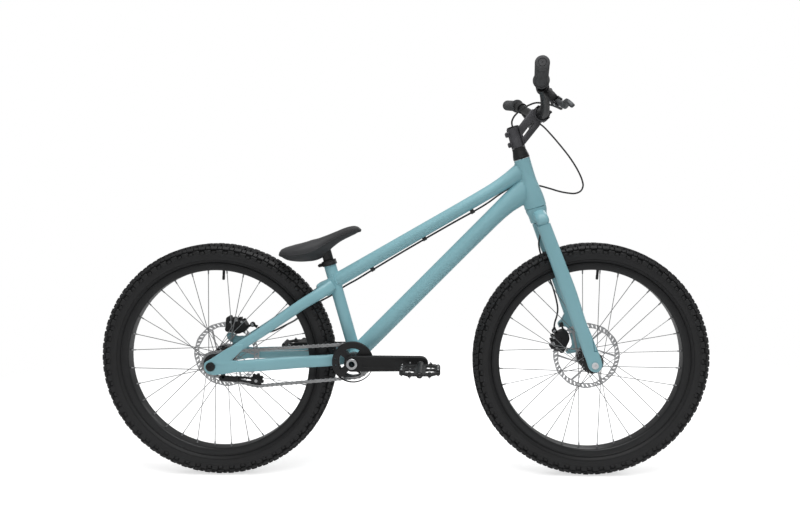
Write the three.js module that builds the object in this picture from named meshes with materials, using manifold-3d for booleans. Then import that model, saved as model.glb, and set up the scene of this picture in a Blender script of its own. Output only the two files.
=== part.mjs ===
// A street trials bike with 24 inch wheels, in millimetres.
// +X is forward, +Y is the rider's left, +Z is up, and the origin is on the ground between the axles.
import * as THREE from 'three';
import { mergeVertices } from 'three/addons/utils/BufferGeometryUtils.js';
import Module from 'manifold-3d';

const wasm = await Module();
wasm.setup();

// Facets round a turned piece, a main tube, a stay or clamp, and a small pin
const turnSteps = 16;
const mainTubeSides = 14;
const staySides = 10;
const pinSides = 8;

// Clearances shared by the whole bike
const seatGap = 0.3;
const runningGap = 0.6;
const overrun = 6;

// Stance: where the wheels, the bottom bracket and the steering axis are
const wheelbase = 982;
const chainstayRun = 362.5;
const bottomBracketRise = 8.5;
const headAngle = THREE.MathUtils.degToRad(73.4);
const seatAngle = THREE.MathUtils.degToRad(75);
const forkLength = 428;
const forkOffset = 26;
const frontHubWidth = 100;
const rearHubWidth = 135;

// Tyre and rim, shared by both wheels
const wheelSteps = 32;
const tyreRadius = 310;
const tyreWidth = 58;
const tyreSideWall = 3.4;
const tyreTread = 6.5;
const rimFlangeRadius = 259.5;
const rimInnerRadius = 240;
const rimWidth = 38;
const rimBedWidth = 24;
const rimWall = 2.4;
const beadRadius = 248;
const valveLength = 27;
const valveRadius = 3.6;

// Spokes and hubs
const spokeCount = 32;
const spokeCrosses = 3;
const spokeRadius = 0.9;
const spokeRimSpread = 3;
const spokeHeadSpread = 1.35;
const flangeRadius = 29;
const flangeThickness = 4.6;
const spokeCircleRadius = 25.5;
const hubBarrelRadius = 17;
const hubEndRadius = 10.5;
const frontFlangeLeft = 21;
const frontFlangeRight = 33;
const rearFlangeLeft = 33;
const rearFlangeRight = 22;
const axleRadius = 5;
const axleHeadRadius = 9;
const axleHeadHeight = 5;
const rearHeadRadius = 12;

// Rotors and calipers
const rotorRadius = 90;
const rotorBand = 14;
const rotorThickness = 1.8;
const rotorArmCount = 6;
const rotorHubRadius = 25;
const rotorBoreRadius = 18;
const frontRotorPlane = 39;
const rearRotorPlane = 52.4;
const padThickness = 5;
const padLength = 27;
const padHeight = 21;
const padRest = 0.5;
const caliperOutboard = 15;
const caliperInboard = 12;
const frontCaliperLength = 66;
const rearCaliperLength = 66;
const tabThickness = 11;
const tabReach = 23;

// Head tube and headset
const headTubeLength = 129.3;
const headTubeTopRadius = 20.8;
const headTubeBottomRadius = 28;
const headBoreTop = 17;
const headBoreBottom = 21;
const bearingHeight = 7;
const upperBearingOuter = 19.2;
const lowerBearingOuter = 26;
const headsetCoverHeight = 30.2;
const headsetCoverBase = 21.4;
const steererRadius = 14.3;
const steererBottomRadius = 19;
const steererWall = 3;

// Main tubes
const topTubeDepth = 33.4;
const topTubeWall = 2.2;
const topTubeHeadJoin = 96.5;
const topTubeRunShares = [0, 0.45, 0.86, 1];
const topTubeDepthShares = [1.12, 1.03, 1, 1.44];
const topTubeWidthShares = [0.9, 0.98, 1, 1];
const topTubeLiftShares = [0, 0, 0, 0.22];
const downTubeDepth = 44.9;
const downTubeWidth = 43;
const downTubeWall = 2.4;
const downTubeFootLift = 3.4;
const downTubeHeadJoin = 67.9;
const downTubeRunShares = [0, 0.819, 0.92, 1];
const downTubeDepthShares = [1, 1, 1.22, 1.72];
const downTubeWidthShares = [1, 1, 0.98, 0.92];
const downTubeLiftShares = [0, 0, -0.11, -0.36];
const seatTubeRadius = 15.9;
const seatTubeLength = 261;
const seatTubeAboveJoin = 54;
const topTubeSeatJoin = seatTubeLength - seatTubeAboveJoin;
const seatBridgeWidth = 38;
const seatBridgeReach = 46;
const seatBridgeShares = [
  [-0.2, 0.14], [-0.56, -0.2], [-0.94, -0.42], [-1, -0.6], [-0.9, -0.72], [-0.2, -0.85], [0.1, -0.3],
];
const bracketShellRadius = 21;
const bracketShellBore = 17.6;
const bracketShellWidth = 73;
const cupRadius = 20;
const cupHeight = 3.2;

// Rear triangle
const dropoutThickness = 10;
const dropoutLength = 70;
const dropoutShares = [
  [-0.25, 0.1], [-0.19, 0.17], [-0.1, 0.21], [0.12, 0.345], [0.43, 0.555], [0.72, 0.72], [0.9, 0.62],
  [0.83, 0.32], [0.8, 0.2], [1, 0.2], [1, -0.2], [0.2, -0.325], [-0.03, -0.31], [-0.17, -0.24], [-0.25, -0.1],
];
const chainstayWidth = 17;
const chainstayHeight = 31;
const stayWall = 2.2;
const chainstaySpread = 71.5;
const chainstayRunShares = [0.15, 0.3, 0.47, 0.63, 0.8, 0.862, 0.925, 0.962];
const chainstaySpreadShares = [1, 0.95, 0.81, 0.665, 0.585, 0.49, 0.375, 0.33];
const chainstayWidthShares = [0.7, 0.94, 1.05, 1, 0.94, 0.94, 0.92, 0.9];
const chainstayHeightShares = [0.94, 1, 1.03, 1, 0.97, 0.95, 0.93, 0.9];
const chainstayRiseShares = [-0.2, 0.1, 0.4, 0.6, 0.8, 0.86, 0.93, 0.96];
const seatstayWidth = 16.5;
const seatstayHeight = 25;
const seatstayJoinDrop = 5.5;
const seatstayJoinBack = 4.5;
const seatstayRunShares = [0.07, 0.425, 0.748, 0.912, 1];
const seatstayRiseShares = [0.09, 0.43, 0.762, 0.911, 1];
const seatstaySpreadShares = [1, 0.925, 0.7, 0.475, 0.25];
const seatstayWidthShares = [0.75, 0.97, 1.08, 1.08, 1.05];
const seatstayHeightShares = [0.9, 0.98, 1.12, 1.18, 1.2];
const brakePlateThickness = 9;
const brakePlateInset = 1.4;
const brakePlateLength = 64;
const brakePlateShares = [
  [-0.03, 0.915], [0.26, 0.905], [0.42, 0.74], [0.74, 0.78], [0.86, 0.6], [0.3, 0.42], [0.02, 0.62],
];

// Seat collar, post and saddle
const collarHeight = 13;
const collarLap = 9;
const collarWall = 3.4;
const collarEarReach = 30;
const collarEarWidth = 15;
const postRadius = 13.6;
const postInsert = 95;
const postShow = 33;
const saddleLength = 216;
const saddleHalfWidth = 57;
const saddleHalfHeight = 27;
const saddleTailBack = 124;
const saddleTailUp = 10;
const saddleRunShares = [0, 0.05, 0.15, 0.3, 0.445, 0.58, 0.706, 0.838, 0.926, 0.986];
const saddleLiftShares = [0, 0.02, 0.022, 0.037, 0.072, 0.153, 0.223, 0.282, 0.306, 0.296];
const saddleWidthShares = [0.3, 0.68, 0.94, 1, 0.8, 0.5, 0.38, 0.33, 0.28, 0.15];
const saddleHeightShares = [0.14, 0.5, 0.76, 0.93, 1, 0.7, 0.54, 0.48, 0.37, 0.12];

// Fork: shares of the leg count from the axle up to the crown
const crownHeight = 45;
const crownRadius = 27;
const crownDepth = 34;
const legTopSpread = 46;
const legEndThickness = 14;
const legWall = 2.6;
const legDepth = 37;
const legWidth = 26;
const legRunShares = [-0.047, -0.03, 0, 0.1, 0.29, 0.52, 0.757, 1];
const legFrontShares = [1.07, 1.07, 1.07, 0.97, 0.73, 0.58, 0.32, 0.06];
const legDepthShares = [0.3, 0.72, 1, 1, 0.94, 1.02, 0.98, 0.92];
const legWidthShares = [0.54, 0.54, 0.54, 0.6, 0.86, 0.94, 1, 1];

// Stem, in the plane of the steering axis
const stemClampHeight = 52;
const stemClampRadius = 17.4;
const stemReach = 78.8;
const stemRise = 65.5;
const stemWidth = 37;
const stemArmShares = [
  [0.178, 0.04], [0.907, 0.523], [0.761, 1.018], [0.152, 0.612],
];
const stemSlitShares = [
  [0.222, 0.332], [0.66, 0.675], [0.622, 0.732], [0.222, 0.409],
];
const barClampRadius = 21;
const barClampWidth = 45;
const faceplateGap = 1.2;
const pinchBoltRadius = 4.2;
const pinchBossReach = 24;
const pinchBossHeight = 12;
const faceBoltRadius = 3.6;
const faceBoltHead = 3.5;
const topCapHeight = 4;

// Handlebar and grips
const barRadius = 11.1;
const barCentreRadius = 15.9;
const barHalfWidth = 364;
const barRise = 64.5;
const barSweep = 51;
const barReachShares = [0, 0.07, 0.13, 0.247, 0.467, 0.63, 1];
const barRiseShares = [0, 0, 0.01, 0.078, 0.403, 0.722, 1];
const barSweepShares = [0, 0, 0.01, 0.067, 0.333, 0.659, 1];
const barThickShares = [1, 1, 0.93, 0.72, 0.7, 0.7, 0.7];
const gripRadius = 15.6;
const gripFlangeRadius = 19;
const gripFlangeWidth = 5;
const gripLength = 131;
const gripEndWall = 2;

// Brake levers, in a frame whose x points down and forward from the bar and whose y runs outward along it
const leverPlaceShare = 0.562;
const leverDrop = THREE.MathUtils.degToRad(50);
const leverClampWidth = 14;
const leverClampWall = 4.4;
const leverBodyReach = 58;
const leverBodyWidth = 27;
const leverBodyThickness = 20;
const masterRadius = 9.4;
const masterLength = 40;
const masterReach = 38;
const masterShares = [-0.62, 0.1];
const portShares = [-0.72, -0.3];
const leverPivotReach = 54;
const leverPivotOut = 8;
const leverPinRadius = 2.6;
const bladeThickness = 10;
const bladeSlotDepth = 14;
const bladeEyeRadius = 6.6;
const bladeLength = 70;
const bladeShares = [
  [-0.06, 0.02], [0.04, -0.085], [0.26, 0.03], [0.47, 0.2], [0.53, 0.46], [0.56, 0.67], [0.67, 0.8],
  [0.83, 0.89], [0.87, 0.94], [0.81, 1.01], [0.57, 0.96], [0.4, 0.77], [0.36, 0.51], [0.3, 0.31],
  [0.16, 0.2], [-0.05, 0.09],
];

// Drive: the chain runs in one plane over the chainring, the sprocket and the tensioner pulley
const chainPitch = 12.7;
const chainPlane = -50;
const chainringTeeth = 22;
const sprocketTeeth = 15;
const pulleyTeeth = 8;
const toothHeight = 7.6;
const toothRoot = 4.2;
const toothWidth = 3.6;
const toothTipWidth = 2;
const toothThickness = 2.1;
const rollerWidth = 6.2;
const linkHeight = 8.4;
const linkInnerWidth = 3.1;
const linkPlate = 1;
const spindleRadius = 12;
const spindleBore = 8;
const spindleCapRadius = 14;
const spindleCapHeight = 2.6;
const crankLength = 175;
const crankEyeRadius = 19;
const crankBossRadius = 20.5;
const crankThickness = 15;
const crankPlane = 76.5;
const crankHubRadius = 16;
const guardRadius = 52;
const guardThickness = 6;
const guardPlane = -60.5;
const guardSteps = 28;
const windowInner = 22;
const windowOuter = 36;
const windowSweep = THREE.MathUtils.degToRad(62);
const tensionerPivotBack = 59;
const tensionerPivotDrop = 37;
const tensionerArmLength = 51.8;
const tensionerArmWidth = 12;
const tensionerPlateThickness = 5;
const tensionerPlane = -60;
const tensionerBodyReach = 38;
const tensionerBodyRise = 24;
const tensionerPinRadius = 3.4;
const pulleyHubRadius = 9;
const pulleyHubWidth = 9;

// Pedals
const pedalLength = 100;
const pedalWidth = 93;
const pedalThickness = 15;
const pedalInner = 92;
const pedalCornerShare = 0.2;
const pedalBarrelRadius = 9.5;
const pedalAxleRadius = 5.4;
const pedalThreadRadius = 7;
const pedalCollarRadius = 9;
const pedalRail = 11;

// Brake hoses: routes chosen by hand along the bar, the fork and the frame
const hoseRadius = 2.5;
const hoseSides = 6;
const clipLength = 11;
const clipWidth = 8;
const clipBelow = 4.4;
const clipAbove = 12;
const clipPlaceShares = [0.72, 0.45, 0.18];
const frontHoseRoute = [
  [375.5, -182, 943.9], [377.3, -165, 944.9], [374.2, -128, 953.3], [366.9, -85, 963.6],
  [354, -52, 971.5], [336.5, -36, 974.8], [320.5, -27, 970.2], [304.8, -19, 961.6], [291.5, -9, 951],
  [283.6, -2, 940.5], [280.5, 0, 929.4], [282.5, 0, 918.5], [285.2, 0, 909.2], [309.5, 0, 827.7],
  [332.4, 0, 751], [352.4, 0, 684], [358.1, 0, 664.8],
  [359.8, 7, 648.6], [358.6, 22, 631.5], [358.5, 36, 612.8], [365.6, 43, 583.5], [383.7, 47, 536.8],
  [404.3, 50, 480.3], [413.7, 50.5, 436.2], [411.2, 49, 416.6], [406.3, 47, 401.6], [404.3, 45.5, 390.6],
  [404.4, 45, 383.4],
];
const rearLoopRoute = [
  [368.4, 181, 941], [369, 160, 938], [365, 130, 938], [362, 100, 938], [374, 78, 925], [392, 64, 903],
  [413, 56, 877], [440, 51, 842], [461, 50, 809], [473, 50, 783], [476, 50, 767], [470, 49, 754],
  [455, 48, 747.5], [436, 46, 748.5], [412, 43, 753], [385, 40, 761], [358, 37, 768], [330, 35, 771.5],
  [303, 31, 770], [276, 27, 760], [250, 22.5, 744], [225, 13, 726.5], [203, 4, 713], [181, 0, 700.6],
];
const rearFrameRoute = [
  [180.65, 0, 700.4], [146, 0, 681.5], [94.6, 0, 652.5], [43, 0, 622.8], [-9, 0, 592.5], [-61, 0, 561.5],
  [-92, 0, 542.8], [-125, 5, 522.5], [-150, 17, 508], [-172, 25.5, 494], [-198, 29.5, 476], [-230, 38, 458],
  [-262, 48, 436], [-295, 56, 408], [-331, 57.5, 388], [-361, 57, 374], [-377, 56, 371.5],
  [-392, 54, 377], [-403, 52.6, 385],
];

// Finishes
const teal = { color: 0x8fc4c6, roughness: 0.42, metalness: 0.1 };
const blackAnodised = { color: 0x1d1e20, roughness: 0.45, metalness: 0.6 };
const blackPaint = { color: 0x19191b, roughness: 0.5, metalness: 0.1 };
const rubber = { color: 0x17171a, roughness: 0.85, metalness: 0 };
const steel = { color: 0xb9bbbd, roughness: 0.3, metalness: 0.95 };
const darkSteel = { color: 0x57595c, roughness: 0.4, metalness: 0.9 };
const padStone = { color: 0x4a3b33, roughness: 0.9, metalness: 0.2 };

// Shape tools

// A short name for a point or a direction.
function V(x, y, z) {
  return new THREE.Vector3(x, y, z);
}

// Turns a closed geometry into a solid that can be joined and cut.
function solid(geometry) {
  const bare = geometry.clone();
  bare.deleteAttribute('normal');
  bare.deleteAttribute('uv');
  const merged = mergeVertices(bare);
  const mesh = new wasm.Mesh({
    numProp: 3,
    vertProperties: new Float32Array(merged.attributes.position.array),
    triVerts: new Uint32Array(merged.index.array),
  });
  return new wasm.Manifold(mesh);
}

// Turns a solid back into a geometry.
function geometryOf(body) {
  const mesh = body.getMesh();
  const geometry = new THREE.BufferGeometry();
  geometry.setAttribute('position', new THREE.BufferAttribute(mesh.vertProperties, 3));
  geometry.setIndex(new THREE.BufferAttribute(mesh.triVerts, 1));
  geometry.computeVertexNormals();
  return geometry;
}

function join(first, ...others) {
  return others.reduce((body, other) => body.add(other), first);
}

function cut(first, ...others) {
  return others.reduce((body, other) => body.subtract(other), first);
}

// A tube whose half width and half height change from station to station along its run.
// side is the direction of the half width. grow makes a cutter that leaves a gap, or a smaller core.
function loft(stations, sides, grow = 0, side = V(0, -1, 0)) {
  const last = stations.length - 1;
  const geometry = new THREE.CylinderGeometry(1, 1, 1, sides, last);
  const frames = stations.map((station, i) => {
    const before = stations[Math.max(i - 1, 0)].at;
    const after = stations[Math.min(i + 1, last)].at;
    const run = after.clone().sub(before).normalize();
    const rise = side.clone().cross(run).normalize();
    return { ...station, rise, across: run.clone().cross(rise) };
  });
  const place = geometry.attributes.position;
  for (let i = 0; i < place.count; i += 1) {
    const frame = frames[Math.round((place.getY(i) + 0.5) * last)];
    const squareness = frame.square ?? 1;
    const wide = Math.sign(place.getX(i)) * Math.abs(place.getX(i)) ** squareness * (frame.wide + grow);
    const deep = Math.sign(place.getZ(i)) * Math.abs(place.getZ(i)) ** squareness * (frame.deep + grow);
    const point = frame.at.clone().addScaledVector(frame.across, wide).addScaledVector(frame.rise, deep);
    place.setXYZ(i, point.x, point.y, point.z);
  }
  return solid(geometry);
}

// The same tube with its ends pushed out by the overrun, for boring another one hollow.
function core(stations, sides, wall) {
  const last = stations.length - 1;
  const foot = stations[0].at.clone().sub(stations[1].at).setLength(overrun).add(stations[0].at);
  const head = stations[last].at.clone().sub(stations[last - 1].at).setLength(overrun).add(stations[last].at);
  const middle = stations.slice(1, last);
  return loft([{ ...stations[0], at: foot }, ...middle, { ...stations[last], at: head }], sides, -wall);
}

// A round bar between two points.
function rod(from, to, radius, sides = staySides, endRadius = radius) {
  const span = to.clone().sub(from);
  const geometry = new THREE.CylinderGeometry(endRadius, radius, span.length(), sides);
  const turn = new THREE.Quaternion().setFromUnitVectors(V(0, 1, 0), span.clone().normalize());
  geometry.applyQuaternion(turn);
  const middle = from.clone().add(to).multiplyScalar(0.5);
  geometry.translate(middle.x, middle.y, middle.z);
  return solid(geometry);
}

// A round cutter whose flats stand outside the named radius, so that a shaft of that radius clears it.
function drill(from, to, radius, sides = staySides) {
  return rod(from, to, radius / Math.cos(Math.PI / sides), sides);
}

// A shape turned about the Y axis from [radius, y] pairs. A ring's last pair repeats its first.
function turned(pairs, steps) {
  const points = pairs.map(([radius, y]) => new THREE.Vector2(radius, y));
  return solid(new THREE.LatheGeometry(points, steps));
}

// A ring about the Y axis with a plain bore.
function collar(inner, outer, from, to, steps) {
  return turned([[outer, from], [outer, to], [inner, to], [inner, from], [outer, from]], steps);
}

// Stands a solid turned about Y up on the Z axis.
function upright(body) {
  return body.rotate([90, 0, 0]);
}

// A plate in the XZ plane with its middle at y, from an outline of [x, z] pairs and a list of holes.
function plate(outline, thickness, y, holes = []) {
  const shape = outlineOf(outline);
  shape.holes.push(...holes);
  const geometry = new THREE.ExtrudeGeometry(shape, {
    depth: thickness, bevelEnabled: false,
  });
  geometry.rotateX(Math.PI / 2);
  geometry.translate(0, y + thickness / 2, 0);
  return solid(geometry);
}

// An outline that runs counter-clockwise, whichever way its pairs run.
function outlineOf(pairs) {
  const points = pairs.map(([x, z]) => new THREE.Vector2(x, z));
  return new THREE.Shape(THREE.ShapeUtils.isClockWise(points) ? points.reverse() : points);
}

// An outline given as shares of one length, placed at a point of the XZ plane.
function scaledOutline(shares, length, x, z) {
  return shares.map(([along, up]) => [x + along * length, z + up * length]);
}

function roundHole(x, z, radius, steps = staySides) {
  const path = new THREE.Path();
  const reach = radius / Math.cos(Math.PI / steps);
  for (let i = 0; i < steps; i += 1) {
    const angle = -2 * Math.PI * i / steps;
    const corner = [x + reach * Math.cos(angle), z + reach * Math.sin(angle)];
    if (i === 0) path.moveTo(...corner);
    else path.lineTo(...corner);
  }
  path.closePath();
  return path;
}

// A box given by its lowest and highest corners.
function block(low, high) {
  const size = high.clone().sub(low);
  const geometry = new THREE.BoxGeometry(size.x, size.y, size.z);
  const middle = low.clone().add(high).multiplyScalar(0.5);
  geometry.translate(middle.x, middle.y, middle.z);
  return solid(geometry);
}

// A hose along a smooth curve through its points.
function hose(route) {
  const curve = new THREE.CatmullRomCurve3(route.map((point) => V(...point)), false, 'centripetal');
  const section = new THREE.Shape();
  for (let i = 0; i < hoseSides; i += 1) {
    const angle = 2 * Math.PI * i / hoseSides;
    const corner = [hoseRadius * Math.cos(angle), hoseRadius * Math.sin(angle)];
    if (i === 0) section.moveTo(...corner);
    else section.lineTo(...corner);
  }
  section.closePath();
  const steps = Math.round(curve.getLength() / (7 * hoseRadius));
  return solid(new THREE.ExtrudeGeometry(section, { steps, extrudePath: curve, bevelEnabled: false }));
}

// Mirrors a solid from the right side of the bike to the left.
function mirrored(body) {
  return body.mirror([0, 1, 0]);
}

function mesh(name, finish, body) {
  const material = new THREE.MeshStandardMaterial(finish);
  const part = new THREE.Mesh(geometryOf(body), material);
  part.name = name;
  return part;
}

// Places of the frame
const rearHub = V(-wheelbase / 2, 0, tyreRadius);
const frontHub = V(wheelbase / 2, 0, tyreRadius);
const bracket = V(rearHub.x + chainstayRun, 0, tyreRadius + bottomBracketRise);
const steerUp = V(-Math.cos(headAngle), 0, Math.sin(headAngle));
const steerFore = V(Math.sin(headAngle), 0, Math.cos(headAngle));
const crownSeat = frontHub.clone()
  .addScaledVector(steerUp, forkLength).addScaledVector(steerFore, -forkOffset);
const seatUp = V(-Math.cos(seatAngle), 0, Math.sin(seatAngle));
const seatFore = V(Math.sin(seatAngle), 0, Math.cos(seatAngle));
const steerTilt = headAngle - Math.PI / 2;

function onSteeringAxis(height) {
  return crownSeat.clone().addScaledVector(steerUp, height);
}

function onSeatTube(height) {
  return bracket.clone().addScaledVector(seatUp, height);
}

// Moves a solid built about the steering axis into the frame.
function steered(body) {
  return body.rotate([0, THREE.MathUtils.radToDeg(steerTilt), 0]).translate(crownSeat.toArray());
}

// Stations of a straight tube of the frame, from shares of its length, width and depth.
function tubeStations(from, to, wide, deep, runs, wides, deeps, lifts) {
  const run = to.clone().sub(from);
  const rise = V(0, -1, 0).cross(run).normalize();
  return runs.map((share, i) => ({
    at: from.clone().addScaledVector(run, share).addScaledVector(rise, lifts[i] * deep),
    wide: wide * wides[i] / 2,
    deep: deep * deeps[i] / 2,
  }));
}

const topTubeStations = tubeStations(
  onSeatTube(topTubeSeatJoin), onSteeringAxis(topTubeHeadJoin), topTubeDepth, topTubeDepth,
  topTubeRunShares, topTubeWidthShares, topTubeDepthShares, topTubeLiftShares,
);
const downTubeHead = onSteeringAxis(downTubeHeadJoin);
const downTubeRise = V(0, -1, 0).cross(downTubeHead.clone().sub(bracket)).normalize();
const downTubeStations = tubeStations(
  bracket.clone().addScaledVector(downTubeRise, downTubeFootLift), downTubeHead, downTubeWidth, downTubeDepth,
  downTubeRunShares, downTubeWidthShares, downTubeDepthShares, downTubeLiftShares,
);

// Head tube: bored for the steerer, with a pocket for the lower bearing
const bearingPocket = bearingHeight + runningGap;
const headFlareLow = headTubeLength * 0.3;
const headFlareHigh = headTubeLength * 0.56;

function headTubeOutside(grow) {
  return steered(upright(turned([
    [0, -grow], [headTubeBottomRadius + grow, -grow], [headTubeBottomRadius + grow, headFlareLow],
    [headTubeTopRadius + grow, headFlareHigh], [headTubeTopRadius + grow, headTubeLength + grow],
    [0, headTubeLength + grow],
  ], turnSteps)));
}

const headTubeBore = steered(upright(turned([
  [0, -overrun], [lowerBearingOuter + seatGap, -overrun], [lowerBearingOuter + seatGap, bearingPocket],
  [headBoreBottom, bearingPocket], [headBoreBottom, headFlareLow], [headBoreTop, headFlareHigh],
  [headBoreTop, headTubeLength + overrun], [0, headTubeLength + overrun],
], turnSteps)));
const headTube = cut(headTubeOutside(0), headTubeBore);

const lowerBearing = steered(upright(collar(
  steererBottomRadius + runningGap, lowerBearingOuter, seatGap, seatGap + bearingHeight, turnSteps,
)));
const upperBearing = steered(upright(collar(
  steererRadius + runningGap, upperBearingOuter, headTubeLength + seatGap,
  headTubeLength + seatGap + bearingHeight, turnSteps,
)));

// Bottom bracket shell with a bearing cup pressed into each end
const bracketOutside = rod(
  V(bracket.x, -bracketShellWidth / 2 - seatGap, bracket.z),
  V(bracket.x, bracketShellWidth / 2 + seatGap, bracket.z), bracketShellRadius + seatGap, turnSteps,
);
const shellEnd = bracketShellWidth / 2;
const cupEnd = shellEnd + cupHeight;
const cupDepth = bracketShellWidth / 4;
const bracketShell = turned([
  [spindleRadius + runningGap, -cupEnd], [cupRadius, -cupEnd], [cupRadius, -shellEnd],
  [bracketShellRadius, -shellEnd], [bracketShellRadius, shellEnd], [cupRadius, shellEnd],
  [cupRadius, cupEnd], [spindleRadius + runningGap, cupEnd], [spindleRadius + runningGap, cupDepth],
  [bracketShellBore, cupDepth], [bracketShellBore, -cupDepth], [spindleRadius + runningGap, -cupDepth],
  [spindleRadius + runningGap, -cupEnd],
], turnSteps).translate(bracket.toArray());

// Main tubes: each is bored hollow and cut where a neighbour passes
const headTubeCutter = headTubeOutside(seatGap);
const seatTubeCutter = rod(
  onSeatTube(-overrun), onSeatTube(seatTubeLength), seatTubeRadius + seatGap, mainTubeSides,
);
const downTubeCutter = loft(downTubeStations, mainTubeSides, seatGap);
const topTube = cut(
  loft(topTubeStations, mainTubeSides), core(topTubeStations, mainTubeSides, topTubeWall),
  headTubeCutter, downTubeCutter, seatTubeCutter,
);
const downTube = cut(
  loft(downTubeStations, mainTubeSides), core(downTubeStations, mainTubeSides, downTubeWall),
  headTubeCutter, bracketOutside,
);

// Stays: the right one of each pair is built and the left one is its mirror
function chainstayStations() {
  return chainstayRunShares.map((share, i) => ({
    at: V(
      rearHub.x + share * chainstayRun, -chainstaySpread * chainstaySpreadShares[i],
      rearHub.z + bottomBracketRise * chainstayRiseShares[i],
    ),
    wide: chainstayWidth * chainstayWidthShares[i] / 2,
    deep: chainstayHeight * chainstayHeightShares[i] / 2,
    square: 0.6,
  }));
}

const seatstayReach = onSeatTube(topTubeSeatJoin - seatstayJoinDrop)
  .addScaledVector(seatFore, -seatstayJoinBack).sub(rearHub);

function seatstayStations() {
  return seatstayRunShares.map((share, i) => ({
    at: V(
      rearHub.x + share * seatstayReach.x, -chainstaySpread * seatstaySpreadShares[i],
      rearHub.z + seatstayReach.z * seatstayRiseShares[i],
    ),
    wide: seatstayWidth * seatstayWidthShares[i] / 2,
    deep: seatstayHeight * seatstayHeightShares[i] / 2,
    square: 0.8,
  }));
}

const dropoutMiddle = -(rearHubWidth + dropoutThickness) / 2 - seatGap;
const dropoutOutline = scaledOutline(dropoutShares, dropoutLength, rearHub.x, rearHub.z);
const dropoutPlate = plate(
  dropoutOutline, dropoutThickness, dropoutMiddle,
  [roundHole(rearHub.x, rearHub.z, axleRadius + seatGap)],
);
const wheelSpace = rod(
  V(rearHub.x, -rearHubWidth / 2 - seatGap, rearHub.z), V(rearHub.x, rearHubWidth / 2 + seatGap, rearHub.z),
  dropoutLength / 2, turnSteps,
);
const dropoutCutter = plate(dropoutOutline, dropoutThickness + 2 * seatGap, dropoutMiddle);
const rightChainstay = join(
  cut(
    loft(chainstayStations(), staySides), core(chainstayStations().slice(1), staySides, stayWall),
    wheelSpace, bracketOutside,
  ),
  dropoutPlate,
);
const leftChainstay = mirrored(rightChainstay);
const rightSeatstay = cut(
  loft(seatstayStations(), staySides), core(seatstayStations().slice(1), staySides, stayWall),
  dropoutCutter, wheelSpace, seatTubeCutter, loft(topTubeStations, mainTubeSides, seatGap),
);

// The disc brake's plate is part of the left seatstay and stands inside the dropout
const brakePlateOutside = rearHubWidth / 2 - brakePlateInset;
const brakePlate = plate(
  scaledOutline(brakePlateShares, brakePlateLength, rearHub.x, rearHub.z),
  brakePlateThickness, brakePlateOutside - brakePlateThickness / 2,
);
const leftSeatstay = join(mirrored(rightSeatstay), brakePlate);

// Seat tube, with the bridge that ties the seatstays behind it
const bridgeSeat = onSeatTube(topTubeSeatJoin);
const stayCutter = loft(seatstayStations(), staySides, seatGap);
const seatBridge = cut(
  plate(scaledOutline(seatBridgeShares, seatBridgeReach, bridgeSeat.x, bridgeSeat.z), seatBridgeWidth, 0),
  stayCutter, mirrored(stayCutter), loft(topTubeStations, mainTubeSides, seatGap),
);
const seatTube = cut(
  join(
    cut(
      rod(onSeatTube(0), onSeatTube(seatTubeLength), seatTubeRadius, mainTubeSides),
      bracketOutside, downTubeCutter,
    ),
    seatBridge,
  ),
  drill(onSeatTube(0), onSeatTube(seatTubeLength + overrun), postRadius + seatGap, mainTubeSides),
);

// Seat collar, a split ring round the top of the seat tube with an ear for its bolt
const collarBase = seatTubeLength - collarLap;
const collarOuter = seatTubeRadius + seatGap + collarWall;
const seatTilt = THREE.MathUtils.radToDeg(seatAngle) - 90;
function onSeatAxis(body) {
  return body.rotate([0, seatTilt, 0]).translate(bracket.toArray());
}

const seatCollar = onSeatAxis(cut(
  join(
    upright(collar(seatTubeRadius + seatGap, collarOuter, collarBase, collarBase + collarHeight, turnSteps)),
    cut(
      block(
        V(-collarEarReach, -collarEarWidth / 2, collarBase + collarHeight * 0.1),
        V(-seatTubeRadius, collarEarWidth / 2, collarBase + collarHeight * 0.8),
      ),
      upright(rod(
        V(0, 0, 0), V(0, seatTubeLength + overrun, 0), seatTubeRadius + seatGap + collarWall / 2, turnSteps,
      )),
    ),
  ),
  block(
    V(-collarEarReach - overrun, -faceplateGap, collarBase - overrun),
    V(0, faceplateGap, collarBase + collarHeight + overrun),
  ),
));

// Saddle and post
const saddleSeat = onSeatTube(seatTubeLength + postShow);
const saddleStations = saddleRunShares.map((share, i) => ({
  at: V(
    saddleSeat.x - saddleTailBack + share * saddleLength, 0,
    saddleSeat.z - saddleTailUp + saddleLiftShares[i] * saddleLength,
  ),
  wide: saddleHalfWidth * saddleWidthShares[i],
  deep: saddleHalfHeight * saddleHeightShares[i],
  square: 0.75,
}));
const saddle = loft(saddleStations, turnSteps);
const seatpost = cut(
  rod(onSeatTube(seatTubeLength - postInsert), saddleSeat, postRadius, mainTubeSides),
  loft(saddleStations, turnSteps, seatGap),
);

// The rear brake's hose runs under the top tube in three clips
const topTubeRun = topTubeStations[3].at.clone().sub(topTubeStations[0].at);
const topTubeSlope = THREE.MathUtils.radToDeg(Math.atan2(topTubeRun.z, topTubeRun.x));
const rearFrameCurve = new THREE.CatmullRomCurve3(
  rearFrameRoute.map((point) => V(...point)), false, 'centripetal',
);

function hosePointAt(x) {
  let ahead = 0;
  let behind = 1;
  for (let i = 0; i < 40; i += 1) {
    const middle = (ahead + behind) / 2;
    if (rearFrameCurve.getPoint(middle).x > x) ahead = middle;
    else behind = middle;
  }
  return rearFrameCurve.getPoint(ahead);
}

const hoseClips = clipPlaceShares.map((share) => {
  const seat = hosePointAt(topTubeStations[0].at.x + share * topTubeRun.x);
  return block(
    V(-clipLength / 2, -clipWidth / 2, -clipBelow), V(clipLength / 2, clipWidth / 2, clipAbove),
  ).rotate([0, -topTubeSlope, 0]).translate(seat.toArray());
});
const rearHoseOnFrame = cut(
  join(hose(rearFrameRoute), ...hoseClips), loft(topTubeStations, mainTubeSides, seatGap),
);

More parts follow.
